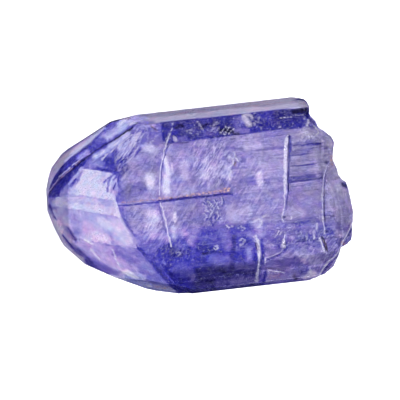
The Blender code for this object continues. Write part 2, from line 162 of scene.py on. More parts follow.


# Milky marks: walls of scratches and grooves, chips, flecks and chalky patches, with painted light among
# them.
# The glints of the band and the shoulder are painted highlights, and the lens and the glows are painted
# glows inside the crystal. The pale left walls of the grooves are partly a painted highlight. Each has its
# strength, its width and softness in mm, and its strokes.
MILK_AND_HIGHLIGHT_LINES = {
    "hairline over the long groove": (0.85, 0.08, 0.05, [(168.5, 138), (166.5, 144), (164.5, 150),
        (163, 157), (161.5, 163), (160.3, 170), (160, 183), (159.3, 195)]),
    "hairline under the long groove": (0.95, 0.11, 0.05, [(160.5, 203), (163.5, 212), (165, 220),
        (167.5, 230), (169.5, 240), (171.5, 246.5)]),
    # Partly painted highlight: the pale left walls of the grooves, lit from the right, beside their shadowed
    # right walls.
    "left wall of the cross groove": (0.9, 0.5, 0.06, [(287, 137.5), (285.9, 146), (285.3, 155),
        (285.5, 168)]),
    "tail of the cross groove": (0.65, 0.08, 0.06, [(284.3, 193), (284.5, 205), (282, 215), (282, 221)]),
    "right hairline": (0.6, 0.05, 0.05, [(326, 166), (324, 172), (323, 180), (322.3, 192), (322, 205),
        (323, 220), (324.5, 234)]),
    "left wall of the lower groove": (0.85, 0.42, 0.08, [(255.5, 236.5), (257.5, 241), (259, 250),
        (259.3, 256)]),
    "curved step": (0.3, 0.05, 0.06, [(283, 249), (280, 252.5), (272, 255.5), (266, 258)]),
    "under the slanting scratch": (0.9, 0.06, 0.05, [(268, 270), (276, 271.3), (284, 273)]),
    "left wall of the brown crack": (0.8, 0.12, 0.08, [(319.5, 238), (322, 245), (324.5, 251)]),
    "lip of the lower break": (0.9, 0.08, 0.07, [(351, 226), (346.5, 235), (342, 243), (340, 250),
        (335, 256), (330, 260), (323, 268), (320, 275)]),
    "worn edge of the ridge": (0.5, 0.2, 0.2, [(114, 203), (116.5, 208), (118.3, 213), (120.5, 219),
        (124, 226), (128, 234), (132, 243)]),
    # Painted highlight: the glint of the band.
    "glint of the band": (0.75, 0.2, 0.5, [(244, 116.5), (246.5, 121), (249, 124)]),
    "pale block of the band": (0.45, 0.3, 0.12, [(174.5, 137.5), (176, 140.5)]),
    "fleck of the top strip": (0.95, 0.12, 0.12, [(142, 116.7), (149, 118.3)]),
    "second fleck of the top strip": (0.95, 0.14, 0.12, [(187, 114), (190, 116), (195, 114.5)]),
    "dot of the top strip": (0.9, 0.05, 0.08, [(244.5, 107.5)]),
    "streak of the shoulder": (0.85, 0.16, 0.15, [(120.5, 124), (124, 121), (127, 119)]),
    "flecks of the shoulder": (0.7, 0.1, 0.12, [(130, 124.5), (137, 120.5)]),
    "thin light of the corner": (0.45, 0.04, 0.08, [(150, 143), (158, 135)]),
    "chalky wiggle": (0.62, 0.1, 0.1, [(229, 157), (233, 159), (233.5, 163), (231, 166)]),
    "chalk beside the pits": (0.7, 0.06, 0.08, [(234, 152), (236, 158), (238, 161)]),
    "first ring": (0.55, 0.04, 0.07, [(214, 246), (217, 245), (218.5, 248), (216, 249.5), (214, 248)]),
    "second ring": (0.45, 0.04, 0.07, [(176, 253), (179, 251.5), (181, 254), (178, 256)]),
    "marks over the lower part": (0.6, 0.05, 0.08, [(226, 225), (229, 227.5), (232, 226)]),
    "loop over the lower part": (0.5, 0.05, 0.08, [(239, 228), (241, 226.5), (244, 228), (242, 230)]),
    "loop of the lower part": (0.45, 0.05, 0.08, [(239, 241), (242, 238), (245, 240), (243, 244),
        (240, 245)]),
    "speckled patch": (0.55, 0.1, 0.2, [(255, 221), (259, 219), (262, 223), (258, 227)]),
    "dashes over the step": (0.55, 0.06, 0.08, [(261, 218), (266, 215)]),
    "squiggle over the step": (0.8, 0.06, 0.06, [(276, 235), (279, 231)]),
    "pale chip of the step": (0.8, 0.35, 0.12, [(283.5, 240), (284, 247)]),
    "bright spot": (0.75, 0.1, 0.12, [(291.5, 216.5), (291, 218.5)]),
    "first dash": (0.45, 0.12, 0.12, [(317, 223), (316.5, 228)]),
    "second dash": (0.6, 0.04, 0.07, [(313, 231), (314, 238)]),
    "third dash": (0.5, 0.03, 0.07, [(306, 233), (307, 240)]),
    "white corner": (0.85, 0.1, 0.08, [(313.5, 126), (316.5, 129), (318, 133), (314.5, 136)]),
    # Painted highlight: the glint of the band's end.
    "glint of the band's end": (0.6, 0.15, 0.12, [(308.5, 120), (307, 126)]),
    "chip of the top strip": (0.8, 0.06, 0.08, [(298, 101.5), (302, 103), (305, 106)]),
    "white of the foot": (0.75, 0.12, 0.15, [(124, 272), (131, 275.5), (138, 278)]),
    "speck of the foot": (0.95, 0.12, 0.1, [(148, 286), (150.5, 287)]),
    "flecks of the outer roof": (0.95, 0.14, 0.1, [(85.5, 240), (88, 242.5), (91.5, 243.5)]),
    "string of flecks": (0.7, 0.07, 0.08, [(91, 249), (93.5, 253), (96, 256.5)]),
    "scratch of the outer roof": (0.8, 0.07, 0.08, [(112.5, 249), (115.5, 258), (119, 266)]),
    "light on the scratch": (0.5, 0.05, 0.08, [(119, 266), (122, 271), (124, 278)]),
    "pale dot": (0.7, 0.1, 0.15, [(310.5, 270), (310.5, 272.5)]),
    "curve of the outer roof": (0.3, 0.02, 0.06, [(94, 162), (100, 166), (108, 168)]),
    "first fleck of the outer roof": (0.8, 0.12, 0.1, [(94.5, 157), (97, 155)]),
    "second fleck of the outer roof": (0.85, 0.1, 0.1, [(101, 153.5), (104, 151.5)]),
    "third fleck of the outer roof": (0.75, 0.08, 0.1, [(102, 160), (105, 156), (107, 154)]),
    "fourth fleck of the outer roof": (0.75, 0.08, 0.08, [(111, 152), (113, 149)]),
    "fifth fleck of the outer roof": (0.85, 0.1, 0.1, [(114, 145), (119, 141)]),
    "sixth fleck of the outer roof": (0.75, 0.08, 0.08, [(118, 148), (122, 143)]),
    "seventh fleck of the outer roof": (0.8, 0.08, 0.1, [(124, 138.5), (128, 135.5)]),
    # Painted glow seen inside the crystal. The lens and the glows beside the hairline a few lines down are
    # painted glows too.
    "glow over the long groove": (0.45, 0.15, 0.6, [(149.3, 179), (151, 186)]),
    "inner border of the crescent": (0.35, 0.12, 0.2, [(58, 163), (75, 153), (90, 141), (103, 128)]),
    "top of the hairline": (0.65, 0.04, 0.05, [(172, 123), (172, 128), (171, 132), (168.5, 138)]),
    "lens beside the hairline": (0.55, 0.1, 0.25, [(165, 160), (167, 167), (168, 173)]),
    "glow under the lens": (0.4, 0.2, 0.4, [(166, 179), (168, 184), (168, 191)]),
    "round glow": (0.12, 0.5, 0.6, [(151, 212), (153, 219)]),
    "glow right of the hairline": (0.35, 0.1, 0.25, [(175, 213), (175, 221)]),
    "second glow right of the hairline": (0.35, 0.15, 0.25, [(174, 229), (174.5, 238)]),
    "lip of the right end": (0.5, 0.05, 0.06, [(344, 181), (348, 188), (350.3, 200), (352, 212),
        (351.3, 224)]),
    "lip of the middle step": (0.55, 0.06, 0.06, [(334, 167), (337, 175), (342, 180.5)]),
    "lip of the upper step": (0.55, 0.06, 0.06, [(318, 129.5), (325, 134.5), (331, 141), (332, 150)]),
    # Painted highlights along the shoulder's edge.
    "first glint of the shoulder": (0.8, 0.05, 0.05, [(72, 165.5), (77, 161.5), (83, 157)]),
    "second glint of the shoulder": (0.7, 0.04, 0.05, [(59, 176.5), (65, 171.5), (70, 168)]),
    "third glint of the shoulder": (0.75, 0.05, 0.05, [(49, 190.5), (54, 183.5), (58, 179)]),
    "scratches of the flaw": (0.8, 0.06, 0.05, [(220.5, 133), (225, 127)], [(224.5, 134), (229.5, 127)],
        [(229, 134), (233.5, 128)]),
    "specks of the band": (0.75, 0.05, 0.06, [(280, 127)], [(289, 126.5)], [(293, 122.5)], [(261, 128)],
        [(255, 113)], [(233, 118)], [(304, 119)], [(270, 116)]),
    "pale strokes of the outer roof": (0.7, 0.03, 0.05, [(118, 146), (124, 141)], [(124, 150), (131, 140)],
        [(128, 154), (136, 142)], [(133, 146), (140, 134)], [(130, 160), (139, 146)], [(136, 140),
        (141, 130)], [(122, 160), (128, 151)], [(126, 140), (132, 135)], [(112, 150), (117, 146)],
        [(120, 137), (126, 133)]),
    "second chip of the strip": (0.7, 0.05, 0.06, [(300, 105), (304, 109)]),
    "specks of the band's end": (0.8, 0.05, 0.05, [(281, 117.6)], [(284, 117)], [(288, 117.2)],
        [(291, 116.9)], [(295.5, 115.3)], [(298, 115.6)], [(302, 114.8)], [(304.5, 118)]),
    # Painted highlight: the second glint of the band.
    "second glint of the band": (0.55, 0.08, 0.2, [(245, 114.5), (250, 115), (252, 118)]),
    "scratches of the band": (0.3, 0.03, 0.07, [(197, 121), (201, 127)], [(201, 126), (204, 131)],
        [(213, 126), (216, 122.5)], [(211, 131.5), (215, 127.5)], [(215, 132), (219, 128)], [(187, 131),
        (192, 129)], [(190, 132.5), (194, 130.5)], [(256, 119), (259, 117)], [(254, 124), (258, 122)],
        [(166, 139.5), (169, 136)]),
    "squiggles of the right end": (0.5, 0.03, 0.05, [(299, 134), (302, 133), (304, 136), (302, 138)],
        [(305, 135), (308, 134), (310, 137), (307, 139)], [(309, 139), (312, 137), (313.5, 134)],
        [(301, 140), (304, 141), (306, 139)]),
    "lower part of the cross groove": (0.8, 0.38, 0.06, [(285.3, 168), (284.8, 183), (285.2, 194)]),
    "end of the curved step": (0.7, 0.12, 0.08, [(265.5, 258), (265.5, 263)]),
    "top of the step": (0.55, 0.05, 0.06, [(285, 234), (284.5, 240)]),
    "lines beyond the lip": (0.55, 0.03, 0.05, [(350.5, 233), (345, 240.5)], [(339.5, 254), (334, 261)],
        [(336, 262), (328, 269)], [(341, 250), (339, 256)], [(347, 238), (343, 242)]),
    "squiggles of the middle": (0.55, 0.03, 0.05, [(203, 203), (206, 206), (205, 211)], [(207, 201),
        (211, 204), (210, 209), (213, 212)], [(214, 200), (217, 204), (219, 209)], [(216, 212), (219, 216),
        (217, 219)], [(204, 213), (207, 216), (205, 219)], [(221, 197), (222.5, 201), (220.5, 205)],
        [(208, 211), (211, 214), (209, 218)], [(212, 205), (214, 209)]),
    "second squiggle over the step": (0.6, 0.04, 0.06, [(279.5, 234.5), (281.5, 231.5)]),
    "bright specks of the groove": (0.9, 0.1, 0.05, [(160, 198.6)], [(169.5, 197.5)], [(180, 196.3)],
        [(188.5, 195.3)], [(200, 193.9)], [(207, 193.1)], [(218, 191.8)], [(228.5, 190.6)]),
    # Painted glow at the tip's foot.
    "glow of the tip's foot": (0.5, 0.1, 0.2, [(128, 271), (134, 274.5)]),
    "lower part of the lower groove": (0.62, 0.28, 0.08, [(259.3, 256), (259, 264), (258, 272),
        (256.5, 281)]),
    "foot of the chalky wiggle": (0.62, 0.12, 0.1, [(230.5, 171), (229, 176), (230, 180)]),
    "white chips of the lower roof": (0.9, 0.14, 0.08, [(84, 239.5), (88.5, 242), (91, 243.5)]),
    "chips under the roof's edge": (0.7, 0.09, 0.08, [(90, 250), (93, 252.5), (97, 257), (100, 259.5)]),
}

# Dark marks: black flaws and spots, and painted shadow on the walls of grooves, in pits and in the upright
# shadow.
DARK_FLAW_AND_SHADOW_LINES = {
    "black edge of the shoulder": (1.0, 0.05, 0.05, [(138, 122), (130, 129), (120, 136), (108, 143),
        (98, 148.8), (88, 156), (80, 162), (70, 171), (60, 180), (52, 189), (48, 195)]),
    "slanting scratch": (0.7, 0.05, 0.06, [(266, 268), (275, 269), (285, 271)]),
    "brown crack": (0.85, 0.14, 0.08, [(321.5, 237), (324.5, 244), (327, 251)]),
    "flaw under the strip": (1.0, 0.22, 0.2, [(176, 127.6), (179.5, 125), (182.5, 126.2)]),
    "second flaw under the strip": (0.9, 0.16, 0.1, [(202.5, 126.3), (207, 124.2)]),
    "mottled flaw": (1.0, 0.42, 0.2, [(221, 130), (226, 130.3), (231, 131)]),
    "end of the mottled flaw": (0.85, 0.2, 0.15, [(233, 133.5), (238.5, 134)]),
    "flaw of the band's end": (0.97, 0.4, 0.16, [(293, 111.5), (298, 110.8), (305, 109.8)]),
    "chip of the corner": (0.8, 0.06, 0.08, [(151, 126.5), (154.5, 129), (156.5, 130.5)]),
    "spot of the top strip": (0.6, 0.08, 0.08, [(169, 112.7)]),
    "sliver of the top strip": (0.5, 0.08, 0.1, [(139, 115), (148, 115)]),
    "spot of the floor": (0.85, 0.16, 0.1, [(203, 253.3), (207, 253)]),
    "foot of the shelf": (0.55, 0.05, 0.08, [(215, 271), (235, 272.5), (255, 273)]),
    "triangle of the right foot": (0.7, 0.25, 0.15, [(294, 275.5), (296, 279)]),
    "blocks of the right": (0.35, 0.3, 0.12, [(297.5, 240), (305.5, 240)]),
    "edge chip": (0.75, 0.06, 0.1, [(342, 184), (344, 186), (347, 185)]),
    "pit of the ring": (0.5, 0.1, 0.12, [(141, 190)]),
    "first pit": (0.8, 0.08, 0.08, [(235.5, 162), (234, 165)]),
    "second pit": (0.6, 0.06, 0.08, [(236, 156.5)]),
    "tip's dark line": (0.3, 0.05, 0.06, [(48, 197), (51, 200), (54, 203)]),
    "tip's second line": (0.3, 0.05, 0.06, [(47, 202), (51, 207), (56, 212)]),
    "thick part of the black edge": (0.95, 0.14, 0.08, [(133, 127), (124, 133), (115, 139)]),
    "second thick part of the black edge": (0.95, 0.14, 0.08, [(84, 159.5), (77, 165), (70, 171.5)]),
    "specks of the strip": (0.35, 0.04, 0.06, [(256, 105)], [(252, 108)], [(270, 104)], [(207, 108.5)],
        [(233, 105)], [(146, 114.5)], [(178, 113.5)], [(297, 103)], [(301, 102)], [(305, 104)],
        [(300, 106)], [(304, 108)]),
    # Painted shadow.
    "upright shadow": (0.4, 0.3, 0.25, [(234, 237), (232, 256), (230.5, 274)]),
    "black spots of the groove": (0.95, 0.13, 0.05, [(162, 199.1)], [(167, 200.0)], [(172, 198.0)],
        [(178, 198.7)], [(184, 196.6)], [(191, 197.2)], [(197, 195.1)], [(203, 195.8)], [(209, 193.7)],
        [(214, 194.5)], [(220, 192.5)], [(226, 193.2)]),
    "flaw beside the hairline's top": (0.6, 0.14, 0.3, [(163.5, 125.5), (167.5, 126.5)]),
}

# Iron stain in the grooves, on the chips and along the foot, and the orange of painted highlights: the edge
# and the glints of the shoulder are painted highlights, tinted orange. The orange spots lie on the long
# groove, which rises to the right from LONG_GROOVE_START.
LONG_GROOVE_START = (121, 203.2)
LONG_GROOVE_RISE = 0.122
RUST_AND_GLINT_LINES = {
    "long groove": (0.58, 0.1, 0.06, [(121, 203.3), (140, 201), (158, 199.3)]),
    "long groove, thick end": (0.68, 0.18, 0.08, [(158, 199), (176, 196.9), (200, 193.9), (215, 192),
        (230, 190.3)]),
    "end of the groove": (0.9, 0.12, 0.08, [(224, 188), (227, 190), (229.5, 188)]),
    # Painted highlights, tinted orange: the edge and the glints of the shoulder.
    "edge of the shoulder": (0.55, 0.06, 0.08, [(75, 164.5), (80, 160.5)]),
    "second glint of the shoulder": (0.5, 0.05, 0.08, [(60, 178), (66, 172.5), (72, 168)]),
    "third glint of the shoulder": (0.45, 0.05, 0.08, [(50, 190), (55, 183), (58, 180)]),
    "dot of the ridge": (0.75, 0.14, 0.08, [(88, 204), (89.5, 204)]),
    "second dot of the ridge": (0.65, 0.1, 0.08, [(111.5, 214.5)]),
    "dot of the lower roof": (0.5, 0.08, 0.08, [(68.5, 218.5)]),
    "right step": (0.8, 0.18, 0.15, [(331.5, 156), (332, 164)]),
    "lower step": (0.65, 0.18, 0.15, [(342, 242.5), (346, 244)]),
    "brown crack": (0.75, 0.1, 0.08, [(324, 242), (326, 248)]),
    "right foot": (0.4, 0.2, 0.3, [(271, 277), (279, 276)]),
    "left foot": (0.34, 0.12, 0.15, [(154, 286), (162, 287), (171, 288)]),
    "pits of the middle": (0.7, 0.08, 0.08, [(235.5, 161), (234.5, 165)]),
    "spot of the growth bands": (0.5, 0.06, 0.08, [(302, 159.5)]),
    "spot of the top strip": (0.85, 0.12, 0.08, [(248.5, 105.5)]),
    "line of the top strip": (0.3, 0.05, 0.1, [(230, 107), (260, 104.5), (290, 102)]),
    "second line of the top strip": (0.3, 0.04, 0.1, [(160, 113), (188, 111)]),
    "chip of the corner": (0.55, 0.06, 0.08, [(152, 126), (157, 131)]),
    "orange spots of the groove": (1.0, 0.15, 0.06,
        *([(x, LONG_GROOVE_START[1] - LONG_GROOVE_RISE * (x - LONG_GROOVE_START[0]))]
          for x in (123, 140.5, 151.5, 161, 165, 170, 176, 187, 198, 206, 216, 227))),
    "rust of the roof's edge": (0.7, 0.12, 0.1, [(88, 203.5), (89, 204.5)]),
    "orange chips of the foot": (0.8, 0.1, 0.08, [(157, 287), (160, 287.5), (166, 288.5)]),
}

# How deep the colour is, from 0 at its palest to 1 at its deepest, and how far it leans from blue (0) to
# rose (1), for each area of the top. Each has the softness of its border in mm, and its outline. Some are
# painted light: the shoulder glow is a painted glow, and the pale facet and its top are a painted image of a
# back facet seen through the tip.
ZONES = {
    "top face": (0.45, 0.5, 0.1, [(118, 172), (150, 125), (330, 110), (345, 200), (352, 230), (320, 276),
        (178, 290), (135, 248)]),
    "lower middle": (0.53, 0.5, 1.2, [(180, 178), (250, 175), (250, 192), (222, 206), (222, 226),
        (196, 229), (180, 232)]),
    "grey right end": (0.5, 0.6, 0.5, [(288, 125), (330, 120), (352, 190), (352, 218), (288, 222)]),
    "lower part": (0.72, 0.42, 0.5, [(138, 250), (150, 242), (172, 240), (196, 229), (236, 223.5),
        (285, 222), (330, 218), (354, 216), (345, 243), (322, 278), (258, 287), (178, 293), (165, 277),
        (150, 263)]),
    "lower right": (0.62, 0.54, 0.6, [(266, 232), (290, 226), (330, 222), (352, 219), (345, 243),
        (322, 276), (268, 285)]),
    "lower right foot": (0.44, 0.58, 0.6, [(262, 252), (300, 249), (345, 245), (340, 258), (322, 278),
        (262, 286)]),
    "deep floor": (0.8, 0.36, 0.12, [(148, 258.5), (170, 257.5), (230, 250.5), (257, 247.5), (259, 285),
        (178, 293), (165, 277)]),
    "dark foot": (0.82, 0.55, 0.5, [(192, 276), (200, 270), (215, 271), (258, 268), (259, 287),
        (196, 292)]),
    "left of the band": (0.55, 0.42, 0.3, [(138, 122), (161, 122), (165, 143), (150, 150), (136, 142)]),
    "dark band": (0.93, 0.35, 0.08, [(160, 122.7), (200, 118.3), (240, 114), (280, 109.5), (302, 107),
        (312, 116), (319, 124), (313, 127), (280, 129.7), (240, 134.8), (200, 139.7), (171, 143.5),
        (163, 141)]),
    "top strip": (0.03, 0.5, 0.08, [(116, 120), (141, 111), (230, 102), (300, 96), (313, 104), (309, 107.3),
        (280, 109.5), (240, 114), (200, 118.3), (160, 122.7), (140, 122), (128, 121)]),
    "outer roof": (0.6, 0.35, 0.15, [(84, 163), (100, 149), (120, 136), (138, 122), (151, 128), (145, 136),
        (134, 150), (125, 165), (119, 173.5), (100, 171.5), (88, 168)]),
    "navy shoulder": (0.93, 0.3, 0.08, [(48, 197), (49, 188), (53, 178), (61, 166), (72, 158.5),
        (80, 149.5), (93, 139), (104, 129), (113, 119), (140, 122), (120, 136), (100, 149), (86, 161),
        (82, 169), (75, 181), (66, 193), (58, 198)]),
    # Painted glow.
    "shoulder glow": (0.45, 0.25, 0.5, [(90, 148), (99, 136), (108, 129), (122, 120), (136, 121.5),
        (118, 136), (100, 147)]),
    "crescent": (0.06, 0.4, 0.08, [(42, 195), (46, 178), (56, 160), (74, 143), (95, 128), (110, 118),
        (121, 117), (112, 120.5), (104, 129), (93, 139), (80, 149.5), (72, 158.5), (61, 166), (53, 178),
        (49, 188), (48, 197)]),
    # Painted light: the pale image of a back facet seen through the tip's facet.
    "pale facet": (0.0, 0.38, 0.08, [(67, 194), (79, 181), (84, 168.5), (119, 173.5), (117, 201.5),
        (95, 198), (75, 195)]),
    "pale facet's top": (0.06, 0.4, 0.15, [(81, 181), (84, 168.5), (119, 173.5), (118, 186), (98, 184)]),
    "ridge": (0.05, 0.4, 0.08, [(55, 197), (75, 195), (95, 198), (117, 201.5), (121, 218.5), (95, 214.3),
        (75, 210.7), (56, 207.5)]),
    "lower roof": (0.21, 0.46, 0.1, [(56, 207.5), (75, 210.7), (95, 214.3), (119, 218.5), (127, 229),
        (138, 249), (115, 246), (92, 242.5), (78, 239), (68, 228)]),
    "outer lower roof": (0.31, 0.62, 0.2, [(52, 213), (62, 222), (72, 233), (80, 240), (92, 242.5),
        (112, 246), (124, 248), (132, 268), (150, 288), (124, 282), (105, 275), (88, 266), (74, 255),
        (66, 246), (58, 230)]),
    "foot of the tip": (0.46, 0.38, 0.4, [(124, 247.5), (139, 249), (149, 257), (161, 270), (173, 284),
        (180, 293), (160, 293), (140, 288), (128, 278)]),
    "rim": (0.02, 0.48, 0.1, [(42, 204), (48, 209), (56, 226), (66, 244), (74, 252), (88, 262), (104, 272),
        (122, 280), (120, 286), (95, 277), (66, 258), (44, 225)]),
    "right break": (0.26, 0.62, 0.3, [(333, 170), (345, 176), (352, 190), (358, 215), (352, 226),
        (345, 237), (336, 238), (334, 220), (336, 200)]),
    "bottom edge": (0.93, 0.3, 0.15, [(178, 289.5), (200, 288), (262, 282.5), (262, 292), (178, 298)]),
    "upper right break": (0.26, 0.62, 0.3, [(318, 129), (332, 142), (333, 160), (345, 176), (336, 200),
        (326, 190), (322, 160)]),
    "break at the band's end": (0.5, 0.45, 0.15, [(308, 114), (313, 118), (318, 124), (315, 127.5),
        (309, 126), (310, 119)]),
    "tip's bottom edge": (0.28, 0.1, 0.3, [(122, 279.5), (140, 281), (158, 284.5), (176, 289), (176, 295),
        (150, 293), (122, 286)]),
    "right part of the bottom edge": (0.62, 0.35, 0.15, [(262, 282.5), (296, 279), (298, 285), (262, 290)]),
    "broad growth band": (0.8, 0.55, 0.08, [(288.5, 177), (305, 175), (322, 173), (322, 179.5),
        (305, 181.5), (288.5, 183.5)]),
}


def shifted(strokes, right, down):
    """The same strokes, moved by some points of the photograph."""
    return [[(x + right, y + down) for x, y in points] for points in strokes]
